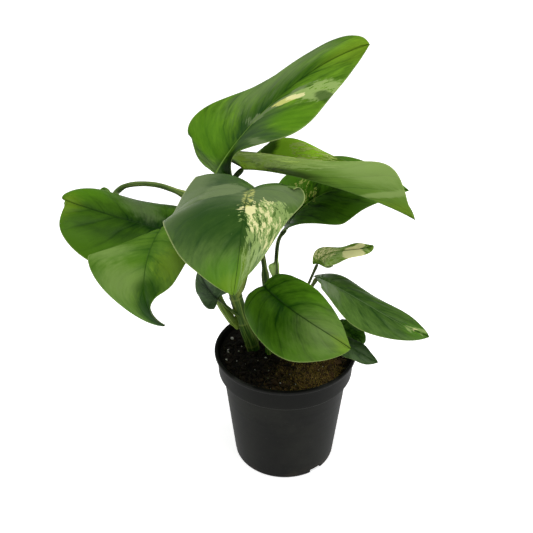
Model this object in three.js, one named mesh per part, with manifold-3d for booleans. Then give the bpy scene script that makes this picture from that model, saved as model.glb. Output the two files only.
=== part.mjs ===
// Potted monstera lechleriana: a nursery pot filled with soil, two short stems, and thirteen leaves on
// stalks. Millimetres, +Z up. The origin is the middle of the pot's base. The side that is looked at is -Y.

import * as THREE from 'three';
import Module from 'manifold-3d';
import { mergeVertices } from 'three/addons/utils/BufferGeometryUtils.js';

const wasm = await Module();
wasm.setup();

// Driving dimensions of the pot

const POT_HEIGHT = 109;
const LIP_RADIUS = 60;
const BAND_RADIUS = 57;
const BAND_HEIGHT = 22;
const WALL_TOP_RADIUS = 53;
const BASE_RADIUS = 44;
const WALL = 1.3;
const FLOOR = 1.8;
const CHANNEL = { inner: 31, outer: 37, rise: 2.4 };
const DRAIN_HOLES = { count: 6, radius: 2.4, at: 34 };
const FOOT_SLOTS = { angles: [-52, 68, 188], width: 12, height: 4 };
const POT_SIDES = 44;

// Driving dimensions of the soil and the plant

const SOIL_TOP = 103.5;
const SOIL_MOUND = 1.8;
const SOIL_ROUGHNESS = 0.8;
const GAP = 0.3;
const SLIVER = 0.02;
const BLADE = 0.8;
const RIB = 1.3;
const NECK = { step: 0.1, most: 5 };
const SHEATH_SWELL = 1.45;
const SHEATH_LIP = 0.02;
const STALK_SIDES = 7;
const STALK_STEPS = 10;
const STEM_STEPS = 8;
const SOIL_SIDES = 36;
const SOIL_RINGS = 6;

// The outline of one half of a blade, from the stalk to the tip: along the midrib, then out from it.
// Both are shares, of the blade's length and of its half width.
const HALF_OUTLINE = [
  [0, 0], [-0.05, 0.24], [-0.065, 0.52], [0, 0.79], [0.13, 0.95],
  [0.32, 1], [0.54, 0.87], [0.75, 0.58], [0.91, 0.24], [1, 0],
];
const VEIN_SWEEP = 1.8;
const CURL_REACH = 0.3;

// Each leaf: midrib as the four points of a Bezier curve; width of its right and left half; where its upper
// face looks, as turn and rise in degrees at base and tip; the rise of each half at the midrib and its
// further turn out to the margin, in degrees at base and tip; wave of the margin as height, waves along the
// leaf and start; shape as shift of the widest place and fullness of the outline; length and extra rise of
// the base lobe of the right and left half.
const LEAVES = {
  leaf_01_top: {
    midrib: [[-55, 12, 263], [-44, 8, 287], [5, 40, 339], [56, 13, 361]],
    width: [48, 54],
    face: [[-60, 61], [-65, 39]],
    rise: [[33, -8], [23, -7]],
    turn: [[15, -34], [5, -64]],
    wave: [5.5, 1.45, -0.04],
    shape: [0.63, 0.88],
    lobes: [1.8, 0.67],
    curl: [-100, 0],
    rows: 16,
    columns: 4,
  },
  leaf_02_upper_right: {
    midrib: [[-35, 52, 250], [-2, 5, 272], [74, 26, 235], [98, -1, 230]],
    width: [52, 40],
    face: [[22, 71], [2, 110]],
    rise: [[50, 56], [26, 24]],
    turn: [[-19, 4], [-14, -22]],
    wave: [-3.4, 1.69, -0.51],
    shape: [0.57, 1.37],
    lobes: [0.29, 0.29],
    curl: [0, 0],
    rows: 16,
    columns: 4,
  },
  leaf_03_rear_right: {
    midrib: [[0, 37, 202], [14, 46, 225], [40, 47, 248], [108, 83, 215]],
    width: [36, 39],
    face: [[-26, 118], [8, 53]],
    rise: [[1, -1], [18, 16]],
    turn: [[-15, -22], [4, 4]],
    wave: [4.4, 1.65, -0.05],
    shape: [0.92, 1.02],
    lobes: [0.01, 0.01],
    curl: [0, 0],
    rows: 16,
    columns: 4,
  },
  leaf_04_front_centre: {
    midrib: [[-24, -61, 285], [-32, -72, 292], [-29, -130, 291], [-35, -160, 264]],
    width: [61, 35],
    face: [[-45, 41], [17, 40]],
    rise: [[42, -24], [1, -59]],
    turn: [[-43, -48], [-21, -93]],
    wave: [5.8, 1.42, 0.6],
    shape: [1.27, 0.69],
    lobes: [1.1, 1.1],
    curl: [0, 0],
    rows: 16,
    columns: 4,
  },
  leaf_05_far_left: {
    midrib: [[-78, -2, 217], [-119, 14, 218], [-177, 34, 229], [-178, 29, 233]],
    width: [37, 44],
    face: [[1, 68], [3, 67]],
    rise: [[0, -5], [5, 2]],
    turn: [[-32, -43], [-24, -26]],
    wave: [2.6, 1.55, 0.09],
    shape: [0.89, 0.87],
    lobes: [1, 1],
    curl: [0, 0],
    rows: 16,
    columns: 4,
  },
  leaf_06_lower_left: {
    midrib: [[-94, -27, 236], [-98, -73, 247], [-114, -69, 195], [-86, -93, 196]],
    width: [55, 35],
    face: [[-14, 35], [-28, -26]],
    rise: [[-5, -11], [15, 16]],
    turn: [[-10, -17], [-7, 1]],
    wave: [3.2, 1.76, 0.42],
    shape: [0.91, 1.13],
    lobes: [0.92, 0.92],
    curl: [0, 0],
    rows: 16,
    columns: 4,
  },
  leaf_07_front_lower: {
    midrib: [[-18, -23, 184], [-2, -58, 185], [30, -82, 181], [45, -80, 166]],
    width: [35, 31],
    face: [[-3, 53], [30, 51]],
    rise: [[-11, 0], [-3, -16]],
    turn: [[-53, -19], [-19, -43]],
    wave: [1.8, 1.46, -0.13],
    shape: [0.86, 1],
    lobes: [1.25, 1.25],
    curl: [0, 0],
    rows: 16,
    columns: 4,
  },
  leaf_08_lower_right: {
    midrib: [[24, -5, 180], [34, -4, 180], [84, -23, 149], [110, -43, 150]],
    width: [29, 22],
    face: [[12, 97], [21, 56]],
    rise: [[20, 4], [-12, 0]],
    turn: [[-8, -30], [-10, -33]],
    wave: [-2.7, 1.54, 0.34],
    shape: [0.94, 0.84],
    lobes: [0.21, 0.05],
    curl: [0, 0],
    rows: 14,
    columns: 4,
  },
  leaf_09_small_marbled: {
    midrib: [[25, 6, 187], [31, 18, 196], [58, -8, 205], [67, -5, 210]],
    width: [17, 6],
    face: [[9, 72], [8, 62]],
    rise: [[23, 13], [33, 16]],
    turn: [[-4, -1], [0, 0]],
    wave: [3.4, 1.56, 0.05],
    shape: [1.02, 0.73],
    lobes: [0.68, 0.68],
    curl: [0, 0],
    rows: 12,
    columns: 3,
  },
  leaf_10_small_inner: {
    midrib: [[42, -9, 140], [46, -16, 137], [65, -24, 132], [59, -24, 131]],
    width: [12, 11],
    face: [[26, 48], [23, 47]],
    rise: [[6, 6], [1, 4]],
    turn: [[-19, -19], [-25, -22]],
    wave: [2.3, 1.59, 0.12],
    shape: [0.99, 0.98],
    lobes: [1, 1],
    curl: [0, 0],
    rows: 10,
    columns: 3,
  },
  leaf_11_small_low: {
    midrib: [[45, -30, 135], [50, -35, 138], [64, -43, 128], [71, -49, 130]],
    width: [10, 8],
    face: [[12, 57], [11, 55]],
    rise: [[7, 4], [3, 3]],
    turn: [[-18, -20], [-22, -23]],
    wave: [1.9, 1.68, 0.38],
    shape: [0.97, 0.95],
    lobes: [1, 1],
    curl: [0, 0],
    rows: 10,
    columns: 3,
  },
  leaf_12_small_left: {
    midrib: [[-55, -17, 169], [-57, -20, 172], [-65, -25, 187], [-67, -28, 203]],
    width: [12, 11],
    face: [[-19, 36], [-16, 37]],
    rise: [[10, 10], [14, 11]],
    turn: [[-10, -10], [-6, -10]],
    wave: [2.7, 1.64, 0.14],
    shape: [1.03, 0.99],
    lobes: [1, 1],
    curl: [0, 0],
    rows: 10,
    columns: 3,
  },
  leaf_13_small_hidden: {
    midrib: [[-145, 61, 221], [-148, 64, 216], [-150, 67, 202], [-151, 66, 189]],
    width: [13, 13],
    face: [[-10, 25], [-10, 20]],
    rise: [[12, 10], [12, 10]],
    turn: [[-10, -10], [-10, -10]],
    wave: [1, 1.5, 0],
    shape: [1, 1],
    lobes: [1, 1],
    curl: [0, 0],
    rows: 10,
    columns: 3,
  },
};

// Stems and stalks: route from the lower end up, radius at both ends, and the stem or soil that holds it.
// Each stalk ends close under the base of its leaf's midrib. Its sheath is a share of its length.
const STEMS = {
  stem_main: {
    route: [[-25, 3, 84], [-28, 3, 108], [-36, 1, 138], [-43, 0, 168], [-46, -1, 182]],
    radii: [6, 5],
  },
  stem_rear: {
    route: [[-6, 8, 84], [-7, 9, 108], [-8, 12, 128], [-8, 14, 140]],
    radii: [5.2, 4.4],
  },
};

const STALKS = {
  stalk_01_top: { leaf: 'leaf_01_top', foot: 'stem_main', radii: [2.6, 1.8], sheath: 0.35,
    route: [[-46, -1, 179], [-49, 6, 205], [-55, 13, 238]] },
  stalk_02_upper_right: { leaf: 'leaf_02_upper_right', foot: 'stem_rear', radii: [2.3, 1.8], sheath: 0.3,
    route: [[-11, 12, 134], [-16, 14, 160], [-20, 19, 190], [-35, 35, 221], [-44, 47, 239]] },
  stalk_03_rear_right: { leaf: 'leaf_03_rear_right', foot: 'stem_rear', radii: [2, 1.6], sheath: 0.58,
    route: [[-6, 17, 134], [-7.5, 23, 160], [-7.5, 29, 184], [-5.5, 33, 195]] },
  stalk_04_front_centre: { leaf: 'leaf_04_front_centre', foot: 'stem_main', radii: [2.6, 1.8], sheath: 0.35,
    route: [[-40, -2, 160], [-34, -8, 185], [-31, -25, 222], [-27, -48, 256]] },
  stalk_05_far_left: { leaf: 'leaf_05_far_left', foot: 'stem_main', radii: [2.4, 1.8], sheath: 0.35,
    route: [[-45, 1, 163], [-55, 3, 186], [-66, 3, 205]] },
  stalk_06_lower_left: { leaf: 'leaf_06_lower_left', foot: 'stem_main', radii: [2.6, 1.8], sheath: 0.42,
    route: [[-40, -1, 129], [-52, -5, 154], [-59, -10, 178], [-74, -22, 212]] },
  stalk_07_front_lower: { leaf: 'leaf_07_front_lower', foot: 'soil', radii: [2.4, 1.6], sheath: 0.4,
    route: [[-14, -3, 88], [-14, -3, 108], [-15, -6, 140], [-17, -13, 168]] },
  stalk_08_lower_right: { leaf: 'leaf_08_lower_right', foot: 'stem_rear', radii: [1.9, 1.4], sheath: 0.3,
    route: [[-4, 10, 122], [6, 5, 138], [15, 0, 158]] },
  stalk_09_small_marbled: { leaf: 'leaf_09_small_marbled', foot: 'soil', radii: [1.6, 1], sheath: 0.4,
    route: [[4, 18, 88], [6, 16, 112], [13, 10, 146], [19, 7, 169]] },
  stalk_10_small_inner: { leaf: 'leaf_10_small_inner', foot: 'soil', radii: [1.5, 1.1], sheath: 0.45,
    route: [[18, 8, 88], [19, 7, 106], [28, 2, 124]] },
  stalk_11_small_low: { leaf: 'leaf_11_small_low', foot: 'soil', radii: [1.5, 1.1], sheath: 0.45,
    route: [[16, -8, 88], [17, -9, 106], [30, -20, 124]] },
  stalk_12_small_left: { leaf: 'leaf_12_small_left', foot: 'stem_main', radii: [1.3, 1], sheath: 0.3,
    route: [[-38, -3, 142], [-46, -8, 153]] },
  stalk_13_arched: { leaf: 'leaf_13_small_hidden', foot: 'stem_main', radii: [3, 1.9], sheath: 0.6,
    route: [[-39, 5, 148], [-44, 14, 180], [-53, 20, 207], [-65, 26, 229], [-82, 30, 237], [-107, 44, 239],
      [-133, 56, 232]] },
};

// Colours and surfaces

const FINISH = {
  plastic: { color: 0x2d2e2a, roughness: 0.55, metalness: 0 },
  soil: { color: 0x2e2418, roughness: 0.95, metalness: 0 },
  blade: { color: 0x4f7f2a, roughness: 0.45, metalness: 0 },
  stalk: { color: 0x55692f, roughness: 0.5, metalness: 0 },
};

// Solids: to and from the library that cuts them

function solidOf(geometry) {
  const bare = geometry.clone();
  bare.deleteAttribute('normal');
  bare.deleteAttribute('uv');
  const merged = mergeVertices(bare, 1e-4);
  const vertProperties = new Float32Array(merged.attributes.position.array);
  const triVerts = new Uint32Array(merged.index.array);
  return new wasm.Manifold(new wasm.Mesh({ numProp: 3, vertProperties, triVerts }));
}

function geometryOf(solid) {
  const mesh = solid.getMesh();
  const geometry = new THREE.BufferGeometry();
  geometry.setAttribute('position', new THREE.Float32BufferAttribute(mesh.vertProperties, 3));
  geometry.setIndex([...mesh.triVerts]);
  geometry.computeVertexNormals();
  return geometry;
}

// What is left of a solid after the cuts, without the loose scraps and slivers that they leave.
function cutAway(solid, cutters) {
  const rest = cutters.reduce((kept, cutter) => kept.subtract(cutter), solid);
  const largest = rest.decompose().reduce((best, body) => (body.volume() > best.volume() ? body : best));
  return largest.simplify(SLIVER);
}

const vector = ([x, y, z]) => new THREE.Vector3(x, y, z);
const radians = THREE.MathUtils.degToRad;
const mix = THREE.MathUtils.lerp;

// Leaf blades

function looking([turn, rise]) {
  const [a, e] = [radians(turn), radians(rise)];
  return new THREE.Vector3(Math.sin(a) * Math.cos(e), -Math.cos(a) * Math.cos(e), Math.sin(e));
}

// A point of the blade, at a share along the midrib and a share of the half width out from it.
function bladePoint(leaf, curve, length, along, out, side) {
  const t = THREE.MathUtils.clamp(along, 0, 1);
  const tangent = curve.getTangent(t);
  const point = curve.getPoint(t).addScaledVector(tangent, (along - t) * length);
  const up = looking(leaf.face[0]).lerp(looking(leaf.face[1]), t);
  up.addScaledVector(tangent, -up.dot(tangent)).normalize();
  const across = tangent.clone().cross(up);
  if (side === 1) across.negate();
  const width = leaf.width[side];
  const nearBase = Math.max(0, 1 - t / CURL_REACH) ** 2;
  const rise = radians(mix(...leaf.rise[side], t) + leaf.curl[side] * nearBase);
  let turn = radians(mix(...leaf.turn[side], t));
  if (Math.abs(turn) < 1e-3) turn = 1e-3;
  const [height, waves, start] = leaf.wave;
  const sideways = width / turn * (Math.sin(rise + turn * out) - Math.sin(rise));
  const bend = width / turn * (Math.cos(rise) - Math.cos(rise + turn * out));
  const ripple = height * out * out * Math.sin(2 * Math.PI * (waves * along + start));
  return point.addScaledVector(across, sideways).addScaledVector(up, bend + ripple);
}

// The places on one half of the blade, row by row from the stalk to the tip. Rows run out along the veins.
function bladeHalf(leaf, curve, length, side) {
  const outline = new THREE.SplineCurve(HALF_OUTLINE.map(([x, y]) => new THREE.Vector2(x, y)));
  const [shift, fullness] = leaf.shape;
  const rows = [];
  for (let row = 0; row <= leaf.rows; row += 1) {
    const share = row / leaf.rows;
    const margin = outline.getPoint(share);
    const root = share ** VEIN_SWEEP;
    const reach = margin.x > 0 ? Math.min(margin.x, 1) ** shift : margin.x * leaf.lobes[side];
    const width = Math.max(margin.y, 0) ** fullness;
    const places = [];
    for (let column = 0; column <= leaf.columns; column += 1) {
      const u = column / leaf.columns;
      places.push(bladePoint(leaf, curve, length, mix(root, reach, u), width * u, side));
    }
    rows.push(places);
  }
  return rows;
}

// A closed blade: the same triangles on both faces, a rib under the midrib, and a rim round the margin.
function bladeGeometry(leaf) {
  const curve = new THREE.CubicBezierCurve3(...leaf.midrib.map(vector));
  const length = curve.getLength();
  const right = bladeHalf(leaf, curve, length, 0);
  const left = bladeHalf(leaf, curve, length, 1);
  const columns = 2 * leaf.columns + 1;
  const middle = leaf.columns;

  const places = [right[0][0]];
  for (let row = 1; row < leaf.rows; row += 1) {
    for (let column = leaf.columns; column > 0; column -= 1) places.push(left[row][column]);
    for (let column = 0; column <= leaf.columns; column += 1) places.push(right[row][column]);
  }
  places.push(right[leaf.rows][0]);
  const tip = places.length - 1;
  const at = (row, column) => 1 + (row - 1) * columns + column;

  const faces = [];
  for (let column = 0; column < columns - 1; column += 1) {
    faces.push([0, at(1, column + 1), at(1, column)]);
    for (let row = 1; row < leaf.rows - 1; row += 1) {
      const [a, b] = [at(row, column), at(row, column + 1)];
      const [c, d] = [at(row + 1, column), at(row + 1, column + 1)];
      if (column < middle) faces.push([a, b, c], [b, d, c]);
      else faces.push([a, b, d], [a, d, c]);
    }
    faces.push([at(leaf.rows - 1, column), at(leaf.rows - 1, column + 1), tip]);
  }

  const normals = places.map(() => new THREE.Vector3());
  for (const [a, b, c] of faces) {
    const edge = places[b].clone().sub(places[a]);
    const normal = edge.cross(places[c].clone().sub(places[a]));
    for (const corner of [a, b, c]) normals[corner].add(normal);
  }
  normals.forEach((normal) => normal.normalize());

  const half = BLADE / 2;
  const ribAt = (index) => {
    if (index === 0) return RIB;
    if (index === tip || (index - 1) % columns !== middle) return 0;
    return RIB * (1 - Math.floor((index - 1) / columns) / leaf.rows);
  };
  const upper = places.map((place, i) => place.clone().addScaledVector(normals[i], half));
  const lower = places.map((place, i) => place.clone().addScaledVector(normals[i], -half - ribAt(i)));
  const points = [...upper, ...lower];
  const count = places.length;

  const loop = [0];
  for (let row = 1; row < leaf.rows; row += 1) loop.push(at(row, 0));
  loop.push(tip);
  for (let row = leaf.rows - 1; row > 0; row -= 1) loop.push(at(row, columns - 1));

  const index = [];
  for (const [a, b, c] of faces) index.push(a, b, c, a + count, c + count, b + count);
  loop.forEach((a, i) => {
    const b = loop[(i + 1) % loop.length];
    index.push(a, b, a + count, b, b + count, a + count);
  });

  const geometry = new THREE.BufferGeometry().setFromPoints(points);
  geometry.setIndex(index);
  return geometry;
}

// Stems and stalks: a round section swept along a smooth curve, closed at both ends. The sheath is the
// swollen lower share of a stalk, and stops at a lip.

function stalkGeometry(route, radii, steps, sheath = 0, grow = 0) {
  const curve = new THREE.CatmullRomCurve3(route);
  const shares = Array.from({ length: steps + 1 }, (_, step) => step / steps);
  if (sheath > 0) shares.push(sheath, sheath + SHEATH_LIP);
  shares.sort((a, b) => a - b);
  const normal = new THREE.Vector3(1, 0, 0);
  const points = [];
  for (const share of shares) {
    const middle = curve.getPointAt(share);
    const tangent = curve.getTangentAt(share);
    normal.addScaledVector(tangent, -normal.dot(tangent)).normalize();
    const binormal = tangent.clone().cross(normal);
    const wrap = share <= sheath && sheath > 0 ? SHEATH_SWELL : 1;
    const radius = mix(...radii, share) * wrap + grow;
    for (let side = 0; side < STALK_SIDES; side += 1) {
      const angle = 2 * Math.PI * side / STALK_SIDES;
      const spoke = normal.clone().multiplyScalar(Math.cos(angle) * radius);
      spoke.addScaledVector(binormal, Math.sin(angle) * radius);
      points.push(middle.clone().add(spoke));
    }
  }
  const first = points.push(curve.getPointAt(0)) - 1;
  const last = points.push(curve.getPointAt(1)) - 1;
  const index = [];
  for (let side = 0; side < STALK_SIDES; side += 1) {
    const next = (side + 1) % STALK_SIDES;
    index.push(first, next, side);
    const end = (shares.length - 1) * STALK_SIDES;
    index.push(last, end + side, end + next);
    for (let step = 0; step < shares.length - 1; step += 1) {
      const [a, b] = [step * STALK_SIDES + side, step * STALK_SIDES + next];
      index.push(a, b, a + STALK_SIDES, b, b + STALK_SIDES, a + STALK_SIDES);
    }
  }
  const geometry = new THREE.BufferGeometry().setFromPoints(points);
  geometry.setIndex(index);
  return geometry;
}

function stemSolid(name, grow = 0) {
  const { route, radii } = STEMS[name];
  return solidOf(stalkGeometry(route.map(vector), radii, STEM_STEPS, 0, grow));
}

function stalkSolid(name, neck, grow = 0) {
  const { route, radii, leaf, sheath } = STALKS[name];
  const path = route.map(vector);
  const base = vector(LEAVES[leaf].midrib[0]);
  const heading = base.clone().sub(path.at(-1)).normalize();
  path.push(base.addScaledVector(heading, -neck));
  return solidOf(stalkGeometry(path, radii, STALK_STEPS, sheath, grow));
}

// The longest stalk that still clears its own blade by the gap.
function seatedStalk(name) {
  const blade = solidOf(bladeGeometry(LEAVES[STALKS[name].leaf]));
  let neck = 0;
  while (neck < NECK.most && stalkSolid(name, neck).minGap(blade, 2 * GAP) < GAP) neck += NECK.step;
  return stalkSolid(name, neck);
}

// Pot: a thin wall with a stepped band and a rolled lip; drain holes in a raised channel; slots in the foot

function potSolid() {
  const bandFoot = POT_HEIGHT - BAND_HEIGHT;
  const profile = [
    [0, 0], [CHANNEL.inner - 1, 0], [CHANNEL.inner, CHANNEL.rise], [CHANNEL.outer, CHANNEL.rise],
    [CHANNEL.outer + 1, 0], [BASE_RADIUS - 1.6, 0], [BASE_RADIUS - 0.4, 0.5], [BASE_RADIUS, 1.8],
    [WALL_TOP_RADIUS, bandFoot - 0.8], [WALL_TOP_RADIUS + 0.6, bandFoot], [BAND_RADIUS - 1, bandFoot + 0.4],
    [BAND_RADIUS, bandFoot + 1.5], [BAND_RADIUS + 0.8, POT_HEIGHT - 4],
    [LIP_RADIUS - 0.6, POT_HEIGHT - 3.6],
    [LIP_RADIUS, POT_HEIGHT - 2.6], [LIP_RADIUS, POT_HEIGHT - 0.9], [LIP_RADIUS - 0.8, POT_HEIGHT],
    [BAND_RADIUS + 0.8, POT_HEIGHT], [BAND_RADIUS, POT_HEIGHT - 1], [BAND_RADIUS - WALL, bandFoot + 2.2],
    [WALL_TOP_RADIUS - WALL, bandFoot - 0.6], [BASE_RADIUS - WALL, CHANNEL.rise + FLOOR + 1.6],
    [BASE_RADIUS - WALL - 1, CHANNEL.rise + FLOOR], [CHANNEL.inner - 0.6, CHANNEL.rise + FLOOR],
    [CHANNEL.inner - 1.6, FLOOR], [0, FLOOR],
  ].map(([r, z]) => new THREE.Vector2(r, z));
  const turned = new THREE.LatheGeometry(profile, POT_SIDES);
  turned.rotateX(Math.PI / 2);
  const cutters = [];
  for (let hole = 0; hole < DRAIN_HOLES.count; hole += 1) {
    const angle = (hole + 0.5) / DRAIN_HOLES.count * 2 * Math.PI;
    const drill = new THREE.CylinderGeometry(DRAIN_HOLES.radius, DRAIN_HOLES.radius, 8, 12);
    drill.rotateX(Math.PI / 2);
    drill.translate(DRAIN_HOLES.at * Math.cos(angle), DRAIN_HOLES.at * Math.sin(angle), 3);
    cutters.push(solidOf(drill));
  }
  for (const angle of FOOT_SLOTS.angles) {
    const slot = new THREE.BoxGeometry(9.5, FOOT_SLOTS.width, 2 * FOOT_SLOTS.height);
    slot.translate(BASE_RADIUS - 2, 0, 0);
    slot.rotateZ(radians(angle));
    cutters.push(solidOf(slot));
  }
  return cutAway(solidOf(turned), cutters);
}

// Soil: fills the pot, with an uneven top and a plain hole for each stem and stalk that stands in it

function soilHeight(x, y) {
  const bumps = Math.sin(0.31 * x + 0.9) * Math.cos(0.27 * y) + 0.6 * Math.sin(0.53 * x - 0.47 * y + 2);
  const mound = Math.max(0, 1 - Math.hypot(x, y) / BAND_RADIUS);
  return SOIL_TOP + SOIL_MOUND * mound + SOIL_ROUGHNESS * bumps;
}

function soilSolid(cutters) {
  const bandFoot = POT_HEIGHT - BAND_HEIGHT;
  const floor = CHANNEL.rise + FLOOR + GAP;
  const rim = BAND_RADIUS - WALL - GAP;
  const rings = [];
  for (let ring = 0; ring <= SOIL_RINGS; ring += 1) rings.push([rim * (1 - ring / SOIL_RINGS), SOIL_TOP]);
  const profile = [
    [0, FLOOR + GAP], [CHANNEL.inner - 2, FLOOR + GAP], [CHANNEL.inner - 1, floor],
    [BASE_RADIUS - WALL - 1.4, floor], [BASE_RADIUS - WALL - 0.4, floor + 1.6],
    [WALL_TOP_RADIUS - WALL - 0.4, bandFoot - 0.4], [BAND_RADIUS - WALL - GAP - 0.2, bandFoot + 2.4],
    ...rings,
  ].map(([r, z]) => new THREE.Vector2(r, z));
  const turned = new THREE.LatheGeometry(profile, SOIL_SIDES);
  turned.rotateX(Math.PI / 2);
  const spots = turned.attributes.position;
  for (let i = 0; i < spots.count; i += 1) {
    const [x, y, z] = [spots.getX(i), spots.getY(i), spots.getZ(i)];
    if (z > SOIL_TOP - 0.1) spots.setZ(i, soilHeight(x, y));
  }
  return cutAway(solidOf(turned), cutters);
}

// The whole plant in its pot

const plant = new THREE.Group();

function place(name, geometry, finish) {
  const mesh = new THREE.Mesh(geometry, new THREE.MeshStandardMaterial(FINISH[finish]));
  mesh.name = name;
  plant.add(mesh);
}

place('pot', geometryOf(potSolid()), 'plastic');

const rooted = Object.keys(STALKS).filter((name) => STALKS[name].foot === 'soil');
const holes = [
  ...Object.keys(STEMS).map((name) => stemSolid(name, GAP)),
  ...rooted.map((name) => stalkSolid(name, 0, GAP)),
];
place('soil', geometryOf(soilSolid(holes)), 'soil');

for (const name of Object.keys(STEMS)) place(name, geometryOf(stemSolid(name)), 'stalk');

for (const [name, stalk] of Object.entries(STALKS)) {
  const cutters = stalk.foot === 'soil' ? [] : [stemSolid(stalk.foot, GAP)];
  place(name, geometryOf(cutAway(seatedStalk(name), cutters)), 'stalk');
}

for (const [name, leaf] of Object.entries(LEAVES)) {
  const geometry = bladeGeometry(leaf);
  geometry.computeVertexNormals();
  place(name, geometry, 'blade');
}

export default plant;
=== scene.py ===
"""A potted monstera lechleriana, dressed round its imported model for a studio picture.

Everything is in the model's frame: +Z up, the origin in the middle of the pot's base, the front leaves
towards -Y. The plant, the pot and the soil are given in millimetres, as on the model, and become metres
once. The inputs of the node trees and the sizes in the finishes are in metres.
"""

import logging
import math
from collections.abc import Callable, Sequence
from dataclasses import dataclass, replace
from enum import Enum
from functools import partial

import bpy
import numpy as np
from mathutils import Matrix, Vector


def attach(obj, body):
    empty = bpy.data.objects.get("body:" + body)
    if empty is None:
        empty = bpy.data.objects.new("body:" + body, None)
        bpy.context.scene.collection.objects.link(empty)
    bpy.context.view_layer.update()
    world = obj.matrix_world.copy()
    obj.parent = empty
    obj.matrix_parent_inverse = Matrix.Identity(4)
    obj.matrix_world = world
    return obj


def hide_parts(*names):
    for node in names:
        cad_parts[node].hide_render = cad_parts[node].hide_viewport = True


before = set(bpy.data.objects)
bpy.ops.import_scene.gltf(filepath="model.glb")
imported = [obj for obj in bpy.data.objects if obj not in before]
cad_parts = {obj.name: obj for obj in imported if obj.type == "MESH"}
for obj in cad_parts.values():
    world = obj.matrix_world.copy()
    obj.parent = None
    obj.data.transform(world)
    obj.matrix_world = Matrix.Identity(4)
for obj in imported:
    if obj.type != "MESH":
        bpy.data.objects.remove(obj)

LOG = logging.getLogger("plant")
MM = 0.001
TURN = 2 * math.pi
BODY = "root"

Point = tuple[float, float, float]
Pair = tuple[float, float]
Colour = tuple[float, float, float, float]


def paint(red: float, green: float, blue: float) -> Colour:
    """Turns a screen colour into the linear colour that a shader takes.

    Args:
        red: Red, from 0 to 255.
        green: Green, from 0 to 255.
        blue: Blue, from 0 to 255.

    Returns:
        The linear colour, opaque.
    """
    shares = [part / 255 for part in (red, green, blue)]
    parts = [s / 12.92 if s <= 0.04045 else ((s + 0.055) / 1.055) ** 2.4 for s in shares]
    return (parts[0], parts[1], parts[2], 1.0)


WHITE = (1.0, 1.0, 1.0, 1.0)


def operator(operation: str, swapped: bool = False) -> Callable[..., "Wire"]:
    """Makes a method of a wire that adds one Math node.

    Args:
        operation: The node's operation.
        swapped: Whether the wire is the node's second value.

    Returns:
        The method.
    """

    def run(wire: "Wire", *others: "Wire | float") -> "Wire":
        """Adds the node on the wire and the other value, if the operation takes one."""
        return wire.board.math(operation, *((*others, wire) if swapped else (wire, *others)))

    return run


class Wire:
    """An output of a node, which takes part in Python arithmetic and adds the Math nodes for it."""

    __add__, __radd__ = operator("ADD"), operator("ADD", swapped=True)
    __sub__, __rsub__ = operator("SUBTRACT"), operator("SUBTRACT", swapped=True)
    __mul__, __rmul__ = operator("MULTIPLY"), operator("MULTIPLY", swapped=True)
    __truediv__, __pow__, __abs__ = operator("DIVIDE"), operator("POWER"), operator("ABSOLUTE")
    above, below, fraction = operator("GREATER_THAN"), operator("LESS_THAN"), operator("FRACT")
    sine, cosine, nearest = operator("SINE"), operator("COSINE"), operator("ROUND")

    def __init__(self, board: "Board", socket: bpy.types.NodeSocket) -> None:
        """Keeps the board that the socket belongs to, and the socket."""
        self.board = board
        self.socket = socket

    def clamp(self) -> "Wire":
        """Holds the value between 0 and 1."""
        return self.board.out("ShaderNodeClamp", {"Value": self})

    def smooth(self, low: "Wire | float", high: "Wire | float") -> "Wire":
        """Rises smoothly from 0 at the low limit to 1 at the high one."""
        values = {0: self, 1: low, 2: high, 3: 0.0, 4: 1.0}
        return self.board.out("ShaderNodeMapRange", values, interpolation_type="SMOOTHSTEP")


Number = Wire | float


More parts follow.
